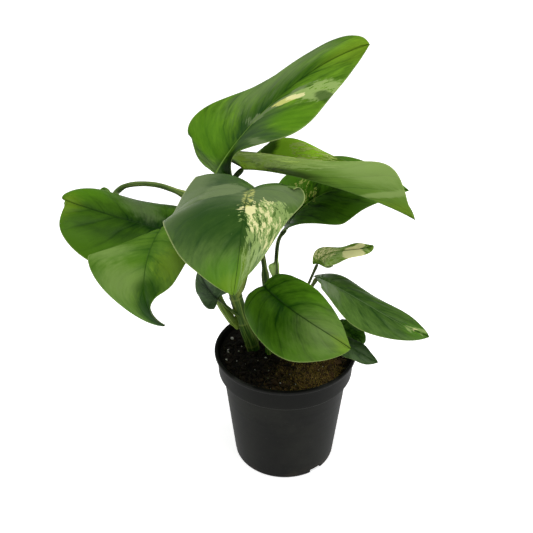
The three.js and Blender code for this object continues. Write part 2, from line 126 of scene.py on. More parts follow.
class Board:
    """A node tree, with one method that adds any node and short forms for the common ones."""

    def __init__(self, tree: bpy.types.NodeTree) -> None:
        """Keeps the tree."""
        self.tree = tree

    def add(self, kind: str, values: dict | None = None, **settings: str) -> bpy.types.Node:
        """Adds a node.

        Args:
            kind: The node's type.
            values: What goes into its inputs, by name or number: a plain value, a wire or a list of wires.
            **settings: The node's properties, which are set first.

        Returns:
            The new node.
        """
        node = self.tree.nodes.new(kind)
        for name, value in settings.items():
            setattr(node, name, value)
        for key, value in (values or {}).items():
            for part in value if isinstance(value, list) else [value]:
                if isinstance(part, Wire):
                    self.tree.links.new(part.socket, node.inputs[key])
                else:
                    node.inputs[key].default_value = part
        return node

    def out(self, kind: str, values: dict | None = None, output: int | str = 0, **settings: str) -> Wire:
        """Adds a node as add does, and returns one of its outputs."""
        return Wire(self, self.add(kind, values, **settings).outputs[output])

    def math(self, operation: str, *values: Number) -> Wire:
        """Adds a Math node on one or two values."""
        return self.out("ShaderNodeMath", dict(enumerate(values)), operation=operation)

    def vector(self, x: Number, y: Number, z: Number) -> Wire:
        """Joins three numbers into a vector."""
        return self.out("ShaderNodeCombineXYZ", {0: x, 1: y, 2: z})

    def split(self, vector: Wire) -> tuple[Wire, Wire, Wire]:
        """Splits a vector into its three numbers."""
        x, y, z = self.add("ShaderNodeSeparateXYZ", {0: vector}).outputs
        return Wire(self, x), Wire(self, y), Wire(self, z)

    def arrows(self, operation: str, *values: Wire | Point) -> Wire:
        """Adds a Vector Math node on vectors."""
        return self.out("ShaderNodeVectorMath", dict(enumerate(values)), operation=operation)

    def scaled(self, vector: Wire, size: Number) -> Wire:
        """Makes a vector longer or shorter."""
        return self.out("ShaderNodeVectorMath", {0: vector, "Scale": size}, operation="SCALE")

    def noise(
        self, place: Wire, scale: float, detail: float = 2.0, rough: float = 0.5, output: int = 0
    ) -> Wire:
        """Adds soft noise.

        Args:
            place: The coordinates that it is read at.
            scale: Its size: lumps for each unit of the coordinates.
            detail: How many finer layers it has.
            rough: How strong those layers are.
            output: 0 for a number round 0.5, 1 for a colour.

        Returns:
            The noise.
        """
        values = {"Vector": place, "Scale": scale, "Detail": detail, "Roughness": rough}
        return self.out("ShaderNodeTexNoise", values, output)

    def blend(self, share: Number, first: Wire | Colour, second: Wire | Colour) -> Wire:
        """Mixes two colours, the second one by the given share."""
        return self.out("ShaderNodeMix", {0: share, 6: first, 7: second}, 2, data_type="RGBA")


class Skin(Board):
    """A material's node tree, which ends in one principled surface."""

    def __init__(self, name: str) -> None:
        """Makes an empty material.

        Args:
            name: Its name.
        """
        self.material = bpy.data.materials.new(name)
        self.material.use_nodes = True
        super().__init__(self.material.node_tree)
        self.tree.nodes.clear()

    def read(self, name: str, output: str = "Vector") -> Wire:
        """Reads a vector that the piece's points carry, or a number with the output Fac."""
        return self.out("ShaderNodeAttribute", {}, output, attribute_name=name)

    def place(self) -> Wire:
        """Reads the object coordinates, in metres."""
        return self.out("ShaderNodeTexCoord", {}, "Object")

    def close(self, values: dict, height: Wire | None = None, depth: float = 0.0) -> bpy.types.Material:
        """Adds the surface and its relief.

        Args:
            values: What goes into the surface, by input.
            height: The height of a fine relief, from 0 to 1.
            depth: The depth of that relief, in metres.

        Returns:
            The finished material.
        """
        if height is not None:
            bump = {"Strength": 1.0, "Distance": depth, "Height": height}
            values = {**values, "Normal": self.out("ShaderNodeBump", bump)}
        self.add("ShaderNodeOutputMaterial", {"Surface": self.out("ShaderNodeBsdfPrincipled", values)})
        return self.material


class Form(Board):
    """A Geometry Nodes tree with named sizes as its inputs, which are read as items."""

    def __init__(self, name: str, sizes: dict[str, int | float]) -> None:
        """Makes the tree and its inputs.

        Args:
            name: The tree's name.
            sizes: The usual value of each input, by its label.
        """
        super().__init__(bpy.data.node_groups.new(name, "GeometryNodeTree"))
        new_socket = self.tree.interface.new_socket
        new_socket("Geometry", in_out="OUTPUT", socket_type="NodeSocketGeometry")
        new_socket("Geometry", in_out="INPUT", socket_type="NodeSocketGeometry")
        self.keys = {"Material": new_socket("Material", in_out="INPUT", socket_type="NodeSocketMaterial")}
        for label, size in sizes.items():
            kind = "NodeSocketInt" if isinstance(size, int) else "NodeSocketFloat"
            self.keys[label] = new_socket(label, in_out="INPUT", socket_type=kind)
            self.keys[label].default_value = size
        self.entry = self.tree.nodes.new("NodeGroupInput")

    def __getitem__(self, label: str) -> Wire:
        """Gives one of the tree's inputs."""
        return Wire(self, self.entry.outputs[label])

    def geo(self, kind: str, values: dict | None = None, output: int | str = 0, **settings: str) -> Wire:
        """Adds a geometry node, named by the end of its type, and returns one of its outputs."""
        return self.out(f"GeometryNode{kind}", values, output, **settings)

    def read(self, name: str, kind: str = "FLOAT_VECTOR") -> Wire:
        """Reads what the points carry under a name."""
        return self.geo("InputNamedAttribute", {"Name": name}, data_type=kind)

    def store(
        self, geometry: Wire, name: str, value: Wire, kind: str = "FLOAT", domain: str = "POINT"
    ) -> Wire:
        """Writes a value on the points under a name."""
        values = {"Geometry": geometry, "Name": name, "Value": value}
        return self.geo("StoreNamedAttribute", values, data_type=kind, domain=domain)

    def random(self, low: float, high: float, seed: Wire) -> Wire:
        """Gives each point a random number."""
        values = {2: low, 3: high, "Seed": seed}
        return self.out("FunctionNodeRandomValue", values, 1, data_type="FLOAT")

    def moved(self, geometry: Wire, **values: Wire) -> Wire:
        """Sets the Position of the points, or moves them by an Offset."""
        return self.geo("SetPosition", {"Geometry": geometry, **values})

    def shaded(
        self, geometry: Wire, where: Wire | bool = True, smooth: bool = True, domain: str = "FACE"
    ) -> Wire:
        """Sets smooth or sharp shading."""
        return self.geo("SetShadeSmooth", {0: geometry, 1: where, 2: smooth}, domain=domain)

    def close(self, geometry: Wire) -> None:
        """Ends the tree: instances made real, then the material.

        Args:
            geometry: What the tree has made.
        """
        real = self.geo("RealizeInstances", {"Geometry": geometry})
        dressed = self.geo("SetMaterial", {"Geometry": real, "Material": self["Material"]})
        self.add("NodeGroupOutput", {"Geometry": dressed})

    def shape(
        self, name: str, start: bpy.types.Mesh, material: bpy.types.Material, **sizes: float
    ) -> bpy.types.Object:
        """Runs the tree on a mesh and keeps the result as a plain mesh.

        Args:
            name: The piece's name.
            start: The mesh that the tree starts from.
            material: The piece's material.
            **sizes: Values for the tree's inputs, with _ for each space.

        Returns:
            The finished object, which has no modifier.
        """
        piece = bpy.data.objects.new(name, start)
        bpy.context.scene.collection.objects.link(piece)
        modifier = piece.modifiers.new(self.tree.name, "NODES")
        modifier.node_group = self.tree
        for label, value in {"Material": material, **sizes}.items():
            modifier[self.keys[label.replace("_", " ")].identifier] = value
        graph = bpy.context.evaluated_depsgraph_get()
        done = piece.evaluated_get(graph)
        mesh = bpy.data.meshes.new_from_object(done, preserve_all_data_layers=True, depsgraph=graph)
        piece.modifiers.remove(modifier)
        piece.data = mesh
        mesh.name = name
        return piece


def hand_in(piece: bpy.types.Object, node: str | None = None) -> None:
    """Fastens a finished piece to the frame.

    Args:
        piece: The piece.
        node: The node of the model that it stands for, if any.
    """
    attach(piece, BODY)
    if node:
        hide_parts(node)
    LOG.info("%s: %d faces", piece.name, len(piece.data.polygons))


# How far a side vein runs on towards the tip between the midrib and the margin, as a share of the rows
VEIN_SLANT = 0.15


def vein_pattern(board: Board, v: Wire, u: Wire, count: Number, seed: Number) -> tuple[Wire, Wire]:
    """Lays the side veins over a blade.

    Args:
        board: The tree that it is made in.
        v: The row, from the base to the tip.
        u: The share out from the midrib, negative on the left.
        count: Side veins on each half.
        seed: A number that shifts their small wander.

    Returns:
        A line along each vein, and the puffed strip between two veins, both from 0 to 1.
    """
    wander = board.noise(board.vector(v * 3.0, u * 1.6, seed), 1.0, 1.0)
    phase = (v - abs(u) * VEIN_SLANT) * count + u.above(0.0) * 0.45 + wander * 0.7
    near = abs(phase.fraction() * 2.0 - 1.0)
    return near.smooth(0.86, 1.0), 1.0 - near * near


class Tone(Enum):
    """The colours that the pale and dark parts of a blade take."""

    # GLOW is a painted glow of light through a blade and SHADE is painted shade. SLATE stands partly for
    # painted grey sheen. In some patches FOREST serves as painted shade and SAGE as painted sheen.
    CREAM = paint(224, 220, 160)
    BUTTER = paint(196, 198, 112)
    PALE = paint(146, 170, 98)
    SAGE = paint(106, 124, 82)
    LEAFY = paint(80, 128, 18)
    LIME = paint(122, 154, 32)
    GLOW = paint(176, 230, 60)
    MINT = paint(198, 222, 118)
    FOREST = paint(26, 62, 6)
    SLATE = paint(58, 78, 50)
    SHADE = paint(5, 16, 2)


CREAM, BUTTER, PALE, SAGE, LEAFY, LIME, GLOW, MINT, FOREST, SLATE, SHADE = Tone


@dataclass(frozen=True)
class Patch:
    """A patch of another tone on a blade, placed by shares of the blade's rows and halves.

    Its middle is at v and u, its half sizes are long and wide, and slant is how far it runs on along the
    rows for each share out. Fill under 1 leaves islands of green in it, and soft is how slowly its edge
    fades.
    """

    tone: Tone
    v: float
    u: float
    long: float
    wide: float
    strength: float = 1.0
    ragged: float = 0.5
    fill: float = 1.0
    slant: float = 0.0
    soft: float = 0.06


# Patches with ever softer edges
haze, blur, wash = (partial(Patch, soft=soft) for soft in (0.3, 0.5, 0.6))


class BladeSkin(Skin):
    """The tree of a blade's material, with the place on the blade that its finish reads."""

    def __init__(self, name: str, seed: float) -> None:
        """Reads the place: the row v from base to tip, and the share u out, negative on the left.

        Args:
            name: The material's name.
            seed: What sets its noise apart from another blade's.
        """
        super().__init__(name)
        self.seed = seed
        self.v, self.u, self.along = self.split(self.read("blade_place"))
        self.row = self.v - abs(self.u) * VEIN_SLANT

    def brush(
        self, rows: float, halves: float, shift: float, detail: float = 2.0, rough: float = 0.5
    ) -> Wire:
        """Reads noise that is drawn out along the side veins.

        Args:
            rows: Its lumps over the length.
            halves: Its lumps over a half.
            shift: What sets it apart from the blade's other noise.
            detail: How many finer layers it has.
            rough: How strong those layers are.

        Returns:
            The noise, round 0.5.
        """
        place = self.vector(self.row * rows, self.u * halves, self.seed + shift)
        return self.noise(place, 1.0, detail, rough)

    def patched(self, colour: Wire, patches: Sequence[Patch]) -> Wire:
        """Lays patches over a colour.

        Args:
            colour: The colour.
            patches: The patches, in the order that they are laid.

        Returns:
            The colour with the patches.
        """
        blot = self.brush(17.0, 5.5, 0.0, 4.0, 0.65) - 0.5
        comb = self.brush(90.0, 4.0, 2.0) - 0.5
        fleck = self.brush(44.0, 9.0, 1.3, 4.0, 0.7)
        torn = blot * 2.2 + comb * 1.5
        for patch in patches:
            rows = (self.v - patch.v - (self.u - patch.u) * patch.slant) / patch.long
            halves = (self.u - patch.u) / patch.wide
            away = (rows * rows + halves * halves) ** 0.5 + torn * patch.ragged
            cover = 1.0 - away.smooth(1.0 - patch.soft, 1.0 + patch.soft)
            if patch.fill < 1.0:
                limit = 0.36 + 0.28 * (1.0 - patch.fill)
                cover = cover * fleck.smooth(limit - 0.02, limit + 0.03)
            colour = self.blend(cover * patch.strength, colour, patch.tone.value)
        return colour


@dataclass(frozen=True)
class LeafFinish:
    """The finish of one blade: its greens, its side veins, its midrib and its shine."""

    deep: Colour
    fresh: Colour
    seed: float
    veins: float = 9.0
    banding: float = 0.25
    outward: float = 0.3
    tipward: float = 0.0
    cloudy: float = 1.4
    grain: float = 1.0
    rib: Colour = paint(116, 148, 66)
    rib_tip: Colour = paint(26, 54, 10)
    rib_end: float = 0.55
    rim: float = 0.3
    rim_tone: Colour = paint(178, 192, 118)
    under: Colour = paint(96, 128, 54)
    under_net: Colour = paint(66, 92, 34)
    gloss: float = 0.42
    sheen: float = 0.12
    wax: float = 0.0

    def material(self, name: str, patches: Sequence[Patch]) -> bpy.types.Material:
        """Builds the blade's material.

        Args:
            name: The material's name.
            patches: The pale and dark patches, in the order that they are laid.

        Returns:
            The material.
        """
        skin = BladeSkin(name, self.seed)
        v, u, along = skin.v, skin.u, skin.along
        way, out, layer = skin.split(skin.read("blade_flat"))
        reach = abs(u)
        line, puff = vein_pattern(skin, v, u, self.veins, self.seed)
        hair = vein_pattern(skin, v, u, self.veins * 4.0, self.seed)[0]
        cloud = skin.brush(3.4, 1.6, 9.0, 3.0) - 0.5
        drift = skin.brush(6.0, 2.2, 5.0)
        streak = skin.brush(56.0, 5.0, 4.0, 4.0, 0.65) - 0.5
        brushed = skin.brush(26.0, 3.5, 6.0, 3.0, 0.6) - 0.5
        fine = skin.noise(skin.vector(way, out, self.seed), 900.0, 2.0)

        # The side vein bands are lighter on the puffed strips and darker along the sunk veins. They are partly
        # the blade's own colour and partly painted light and shade of its quilted relief.
        bands = (puff - 0.62) * drift.smooth(0.25, 0.7) * (1.0 - reach * 0.45) * (self.banding * 1.5)
        # Painted shade in the crease along the midrib, darkest next to it on both halves
        crease_shade = (1.0 - reach.smooth(0.0, 0.22)) * 0.2
        light = bands + (reach - 0.5) * self.outward + (v - 0.5) * self.tipward + cloud * self.cloudy
        light = light + (streak * 1.3 + brushed * 1.1 - hair * 0.1) * self.grain - line * 0.16 - crease_shade + 0.56
        colour = skin.blend(light.clamp(), self.deep, self.fresh)
        below = layer.below(-0.5)
        net = (streak * 0.9 + line * 0.25 + 0.3).clamp()
        colour = skin.blend(below * 0.7, colour, skin.blend(net, self.under, self.under_net))
        colour = skin.patched(colour, patches)

        half_rib = 0.0009 - along * 0.0005
        rib = 1.0 - abs(out).smooth(half_rib * 0.4, half_rib)
        tipward = along.smooth(self.rib_end - 0.15, self.rib_end + 0.1)
        colour = skin.blend(rib * 0.8, colour, skin.blend(tipward, self.rib, self.rib_tip))
        # The pale margin line is partly the blade's own pale edge and partly a painted highlight where the edge
        # catches the light.
        colour = skin.blend(reach.smooth(0.978, 0.994) * self.rim, colour, self.rim_tone)
        surface = {
            "Base Color": colour, "Roughness": self.gloss + cloud * 0.2 + below * 0.16,
            "Specular IOR Level": self.sheen, "Coat Weight": self.wax, "Coat Roughness": 0.35,
        }
        return skin.close(surface, streak * 0.6 + fine * 0.4, 0.0002)


@dataclass(frozen=True)
class StalkFinish:
    """The finish of a stem or stalk: green, paler over the sheath and at its edges, with pale and dark streaks
    that are partly its own and partly painted highlight and painted shade on its ridges.
    """

    low: Colour
    high: Colour
    seed: float
    # Pale green for the edges of the sheath and groove, also laid in streaks as painted highlight
    edge: Colour = paint(150, 164, 84)
    shade: Colour = paint(16, 38, 3)
    sheen: float = 0.15

    def material(self, name: str) -> bpy.types.Material:
        """Builds the stalk's material.

        Args:
            name: The material's name.

        Returns:
            The material.
        """
        skin = Skin(name)
        share, turn, dent = skin.split(skin.read("stalk_place"))
        angle = turn * TURN
        streak = skin.noise(skin.vector(share * 2.0, angle.cosine() * 2.4, angle.sine() * 2.4), 2.0, 2.0, 0.5)
        blotch = skin.noise(skin.place(), 90.0, 3.0)
        colour = skin.blend(share.smooth(0.05, 0.75), self.low, self.high)
        # Pale and dark streaks round the stalk: partly its own streaking, partly painted highlight and painted
        # shade on its ridges.
        colour = skin.blend((streak - 0.5).clamp() * 3.4, colour, self.edge)
        colour = skin.blend((0.52 - streak).clamp() * 3.0, colour, self.shade)
        colour = skin.blend((0.5 - blotch).clamp() * 1.6, colour, self.shade)
        colour = skin.blend(dent * 0.7, colour, self.edge)
        surface = {"Base Color": colour, "Roughness": 0.4 + blotch * 0.2, "Specular IOR Level": self.sheen}
        return skin.close(surface, streak, 0.0003)


@dataclass(frozen=True)
class PotFinish:
    """Matte black moulded plastic, a little dusty, with faint moulding marks and a lip that is paler at the
    top.
    """

    plastic: Colour = paint(10, 11, 8)
    dusty: Colour = paint(28, 29, 24)
    speckled: Colour = paint(66, 64, 56)
    band: Colour = paint(4, 5, 3)
    pale_lip: Colour = paint(74, 76, 72)
    soiled: Colour = paint(88, 76, 58)
    band_foot: Pair = (0.088, 0.09)
    band_head: Pair = (0.1035, 0.1055)
    lip: Pair = (0.1068, 0.109)
    soiled_height: float = 0.012
    sheen: float = 0.09

    def material(self) -> bpy.types.Material:
        """Builds the pot's material.

        Returns:
            The material.
        """
        skin = Skin("pot_plastic")
        place = skin.place()
        x, y, z = skin.split(place)
        dust = skin.noise(place, 24.0, 4.0, 0.65)
        speck = skin.noise(place, 700.0, 2.0)
        flow = skin.noise(skin.vector(x * 30.0, y * 30.0, z * 260.0), 1.0, 3.0, 0.6)
        band = z.smooth(*self.band_foot) * (1.0 - z.smooth(*self.band_head))
        # Paler in streaks at the top of the lip
        pale_lip = z.smooth(*self.lip) * flow.smooth(0.5, 0.75)
        soiled = (1.0 - z.smooth(0.0, self.soiled_height)) * dust.smooth(0.45, 0.7)
        colour = skin.blend(dust.smooth(0.35, 0.8), self.plastic, self.dusty)
        colour = skin.blend(speck.smooth(0.66, 0.78) * 0.25, colour, self.speckled)
        colour = skin.blend(band * 0.45, colour, self.band)
        colour = skin.blend(pale_lip * 0.5, colour, self.pale_lip)
        colour = skin.blend(soiled * 0.35, colour, self.soiled)
        surface = {"Base Color": colour, "Roughness": 0.46 + dust * 0.18, "Specular IOR Level": self.sheen}
        return skin.close(surface, speck * 0.45 + flow * 0.55, 0.00012)


# Near black, for dark peat and for painted shade on the soil and its grains
DARK_PEAT_AND_SHADE = paint(2, 2, 1)


@dataclass(frozen=True)
class GrainFinish:
    """The finish of a sort of grain: each grain has its own tone between two colours, and painted shade darkens
    it towards the back left.
    """

    dark: Colour
    light: Colour
    rough: float = 0.9
    grain: float = 900.0
    shaded: float = 0.9
    sheen: float = 0.25

    def material(self, name: str) -> bpy.types.Material:
        """Builds the grains' material.

        Args:
            name: The material's name.

        Returns:
            The material.
        """
        skin = Skin(name)
        tone = skin.read("grain_tone", "Fac")
        rub = skin.noise(skin.place(), self.grain, 3.0, 0.6)
        x, y, _ = skin.split(skin.place())
        # Painted light and shade: the grains are lighter towards the front right and blend towards near black
        # at the back left.
        lit = (x * 0.8 - y * 0.65).smooth(-0.004, 0.042)
        colour = skin.blend((tone * 0.75 + rub * 0.9 - 0.35).clamp(), self.dark, self.light)
        colour = skin.blend((1.0 - lit) * self.shaded, colour, DARK_PEAT_AND_SHADE)
        surface = {"Base Color": colour, "Roughness": self.rough, "Specular IOR Level": self.sheen}
        return skin.close(surface, rub, 0.0003)


@dataclass(frozen=True)
class SoilFinish:
    """Dark moist peat, near black in part as painted shade, browner where the light moss grows, right of the
    middle and in front of it.
    """

    crumb: Colour = paint(20, 15, 9)
    moss: Colour = paint(48, 34, 12)
    dry_moss: Colour = paint(112, 92, 42)
    right: float = 0.022
    front: float = 0.034
    reach: Pair = (0.016, 0.036)
    sheen: float = 0.2

    def material(self) -> bpy.types.Material:
        """Builds the soil's material.

        Returns:
            The material.
        """
        skin = Skin("soil")
        place = skin.place()
        x, y, _ = skin.split(place)
        lump = skin.noise(place, 160.0, 4.0, 0.65)
        crumb = skin.noise(place, 620.0, 3.0, 0.6)
        dx, dy = x - self.right, y + self.front
        away = (dx**2.0 + dy * dy) ** 0.5 + (lump - 0.5) * 0.04
        moss = skin.blend(crumb.smooth(0.35, 0.7), self.moss, self.dry_moss)
        # The bare soil is near black between the crumbs: dark peat, and partly painted shade.
        colour = skin.blend(crumb.smooth(0.3, 0.75), DARK_PEAT_AND_SHADE, self.crumb)
        colour = skin.blend((1.0 - away.smooth(*self.reach)) * 0.8, colour, moss)
        surface = {"Base Color": colour, "Roughness": 0.85 + lump * 0.15, "Specular IOR Level": self.sheen}
        return skin.close(surface, crumb, 0.0008)


# The relief of a long blade, in metres, which shrinks with a short one
RELIEF = {"Puff": 0.0006, "Vein depth": 0.00025, "Rib": 0.0013, "Groove": 0.0006, "Sway": 0.001}


class BladeRelief(Form):
    """The relief of a blade: midrib, sunk side veins, puffed strips between them and a swaying margin."""

    def __init__(self) -> None:
        """Builds the tree."""
        super().__init__("Blade relief", {"Veins": 9.0, **RELIEF, "Seed": 0.0})
        v, u, along = self.split(self.read("blade_place"))
        _, out, layer = self.split(self.read("blade_flat"))
        reach = abs(u)
        line, puff = vein_pattern(self, v, u, self["Veins"], self["Seed"])
        inner = reach.smooth(0.03, 0.3) * (1.0 - reach.smooth(0.8, 1.0))
        sway = self.noise(self.vector(v * 5.0, u.above(0.0) * 3.0, self["Seed"]), 1.0, 2.0) - 0.5
        ridge = 1.0 - abs(out).smooth(0.0, 0.0017 - along * 0.001)
        below = layer.below(-0.5)
        lift = (puff * self["Puff"] - line * self["Vein depth"]) * inner
        lift = lift + sway * reach * reach * self["Sway"] * 2.0
        lift = lift - ridge * self["Groove"] * (1.0 - below)
        lift = lift - ridge * self["Rib"] * (1.0 - along.clamp()) * below
        self.close(self.moved(self["Geometry"], Offset=self.scaled(self.read("blade_normal"), lift)))


class SweptStalk(Form):
    """A stalk swept along its path: a sheath with a wing, a groove with lips, rings, and a knee at the top."""

    def __init__(self) -> None:
        """Builds the tree."""
        sizes = {
            "Low radius": 0.002, "High radius": 0.0015, "Sheath": 0.35, "Swell": 0.45, "Groove": 0.3,
            "Groove turn": 0.0, "Rings": 0.0, "Knee": 0.25, "Wing": 0.0, "Wing turn": 0.5,
        }
        super().__init__("Swept stalk", {"Sides": 24, **sizes})
        rail = self.geo("MeshToCurve", {0: self["Geometry"]})
        rail = self.store(rail, "rail_spot", self.geo("InputPosition"), "FLOAT_VECTOR")
        rail = self.store(rail, "rail_share", self.geo("SplineParameter"))
        ring = self.geo("CurvePrimitiveCircle", {"Resolution": self["Sides"], "Radius": 1.0})
        ring = self.store(ring, "ring_share", self.geo("SplineParameter"))
        tube = self.geo("CurveToMesh", {"Curve": rail, "Profile Curve": ring, "Fill Caps": True})
        share, turn = self.read("rail_share", "FLOAT"), self.read("ring_share", "FLOAT")
        middle = self.read("rail_spot")
        spoke = self.arrows("SUBTRACT", self.geo("InputPosition"), middle)

        sheath = self["Sheath"]
        radius = self["Low radius"] + (self["High radius"] - self["Low radius"]) * share
        wrap = (1.0 - share.smooth(sheath - 0.02, sheath + 0.03)) * self["Swell"]
        knee = share.smooth(0.9, 0.95) * (1.0 - share.smooth(0.97, 1.0)) * self["Knee"]
        seam = abs((turn - self["Groove turn"] + 0.5).fraction() - 0.5)
        open_seam = 1.0 - share.smooth(sheath - 0.05, sheath + 0.25) * 0.65
        dent = (1.0 - seam.smooth(0.0, 0.13)) * self["Groove"] * open_seam
        lips = seam.smooth(0.08, 0.13) * (1.0 - seam.smooth(0.15, 0.2)) * self["Groove"] * open_seam
        rings = (share * self["Rings"]).fraction()
        ring_lip = (rings.smooth(0.0, 0.03) * (1.0 - rings.smooth(0.03, 0.12))) * self["Rings"].above(0.5)
        rough = self.noise(middle, 70.0, 2.0) - 0.5
        beside = abs((turn - self["Wing turn"] + 0.5).fraction() - 0.5)
        wing = share.smooth(sheath - 0.22, sheath - 0.03) * (1.0 - share.smooth(sheath - 0.02, sheath + 0.01))
        wing = wing * (1.0 - beside.smooth(0.0, 0.2)) * self["Wing"]
        ends = (1.0 - share.smooth(0.985, 1.0) * 0.45) * (0.5 + share.smooth(0.0, 0.09) * 0.5)
        size = radius * (1.0 + wrap + wing + knee - dent + lips * 0.5 + ring_lip * 0.12 + rough * 0.16) * ends
        placed = self.moved(tube, Position=self.arrows("ADD", middle, self.scaled(spoke, size)))
        pale = (lips * 2.5 + wing + ring_lip * 0.5).clamp()
        placed = self.store(placed, "stalk_place", self.vector(share, turn, pale), "FLOAT_VECTOR")
        self.close(self.shaded(placed))


class TurnedBody(Form):
    """A body of revolution from the points of its profile, closed at both poles."""

    def __init__(self, name: str, sizes: dict[str, int | float]) -> None:
        """Builds the turning part; a subclass cuts or roughens it and closes the tree.

        Args:
            name: The tree's name.
            sizes: The usual value of each further input, by its label.
        """
        super().__init__(name, {"Sides": 144, **sizes})
        profile, sides = self["Geometry"], self["Sides"]
        count = self.geo("AttributeDomainSize", {0: profile}, component="MESH")
        size = {"Size X": count - 1.0, "Size Y": sides * 1.0, "Vertices X": count, "Vertices Y": sides + 1.0}
        grid = self.geo("MeshGrid", size)
        x, y, _ = self.split(self.geo("InputPosition"))
        row = (x + (count - 1.0) / 2.0).nearest()
        angle = (y / (sides * 1.0) + 0.5) * -TURN
        sample = {"Geometry": profile, "Value": self.geo("InputPosition"), "Index": row}
        corner = self.geo("SampleIndex", sample, data_type="FLOAT_VECTOR", domain="POINT")
        radius, _, height = self.split(corner)
        place = self.vector(radius * angle.cosine(), radius * angle.sine(), height)
        turned = self.moved(grid, Position=place)
        self.body = self.geo("MergeByDistance", {"Geometry": turned, "Distance": 1e-5})


class TurnedPot(TurnedBody):
    """The pot: turned, drilled for drainage, and slotted through its foot."""

    def __init__(self) -> None:
        """Builds the tree."""
        holes = {"Holes": 6, "Hole radius": 0.0024, "Hole circle": 0.034, "First hole": math.pi / 6}
        slots = {
            "Slots": 3, "Slot width": 0.012, "Slot height": 0.004, "Slot length": 0.0095,
            "Slot circle": 0.042, "First slot": math.radians(-52),
        }
        super().__init__("Turned pot", {**holes, **slots})
        drill = self.geo("MeshCylinder", {"Vertices": 32, "Radius": self["Hole radius"], "Depth": 0.02})
        size = self.vector(self["Slot length"], self["Slot width"], self["Slot height"] * 2.0)
        block = self.geo("MeshCube", {"Size": size})
        tools = [self.round_about(drill, "Hole"), self.round_about(block, "Slot")]
        cut = {"Mesh 1": self.body, "Mesh 2": self.geo("JoinGeometry", {0: tools})}
        smooth = self.shaded(self.geo("MeshBoolean", cut, operation="DIFFERENCE", solver="EXACT"))
        steep = self.geo("InputMeshEdgeAngle").above(0.6)
        self.close(self.shaded(smooth, steep, smooth=False, domain="EDGE"))

    def round_about(self, tool: Wire, kind: str) -> Wire:
        """Sets copies of a cutting tool round the pot's axis.

        Args:
            tool: The tool's mesh.
            kind: Hole or Slot, by which the inputs for its count, circle and first angle are named.

        Returns:
            The tools as real meshes.
        """
        count, circle = self[f"{kind}s"], self[f"{kind} circle"]
        angle = self.geo("InputIndex") * TURN / count + self[f"First {kind.lower()}"]
        spot = self.vector(angle.cosine() * circle, angle.sine() * circle, 0.0)
        points = self.moved(self.geo("Points", {"Count": count}), Position=spot)
        copies = {"Points": points, "Instance": tool, "Rotation": self.vector(0.0, 0.0, angle)}
        return self.geo("RealizeInstances", {"Geometry": self.geo("InstanceOnPoints", copies)})


class TurnedSoil(TurnedBody):
    """The soil: turned, with a crumbly uneven top."""

    def __init__(self) -> None:
        """Builds the tree."""
        sizes = {"Top": 0.1035, "Mound": 0.0018, "Swell": 0.0008, "Crumb": 0.0016, "Rim": 0.057}
        super().__init__("Turned soil", sizes)
        spot = self.geo("InputPosition")
        x, y, z = self.split(spot)
        slow = (x * 310.0 + 0.9).sine() * (y * 270.0).cosine() + (x * 530.0 - y * 470.0 + 2.0).sine() * 0.6
        mound = (1.0 - (x * x + y * y) ** 0.5 / self["Rim"]).clamp()
        lumps = self.noise(spot, 150.0, 4.0, 0.6) - 0.5
        grit = self.noise(spot, 520.0, 2.0, 0.5) - 0.5
        lift = mound * self["Mound"] + slow * self["Swell"] * 0.7
        lift = lift + lumps * self["Crumb"] * 2.2 + grit * self["Crumb"]
        on_top = z.above(self["Top"] - 0.0001)
        self.close(self.shaded(self.moved(self.body, Offset=self.vector(0.0, 0.0, lift * on_top))))


class Grain(Enum):
    """The sorts of loose matter that lie on the soil, each with how far it leans, in radians."""

    CRUMB = ("crumb", math.pi)
    CHIP = ("chip", 0.5)
    PERLITE = ("perlite", math.pi)
    TUFT = ("tuft", 0.75)
    FIBRE = ("fibre", 0.35)


# Loose matter lies on faces that look up at least so much, and above this height
LEVEL = 0.55
WALL_TOP = 0.095


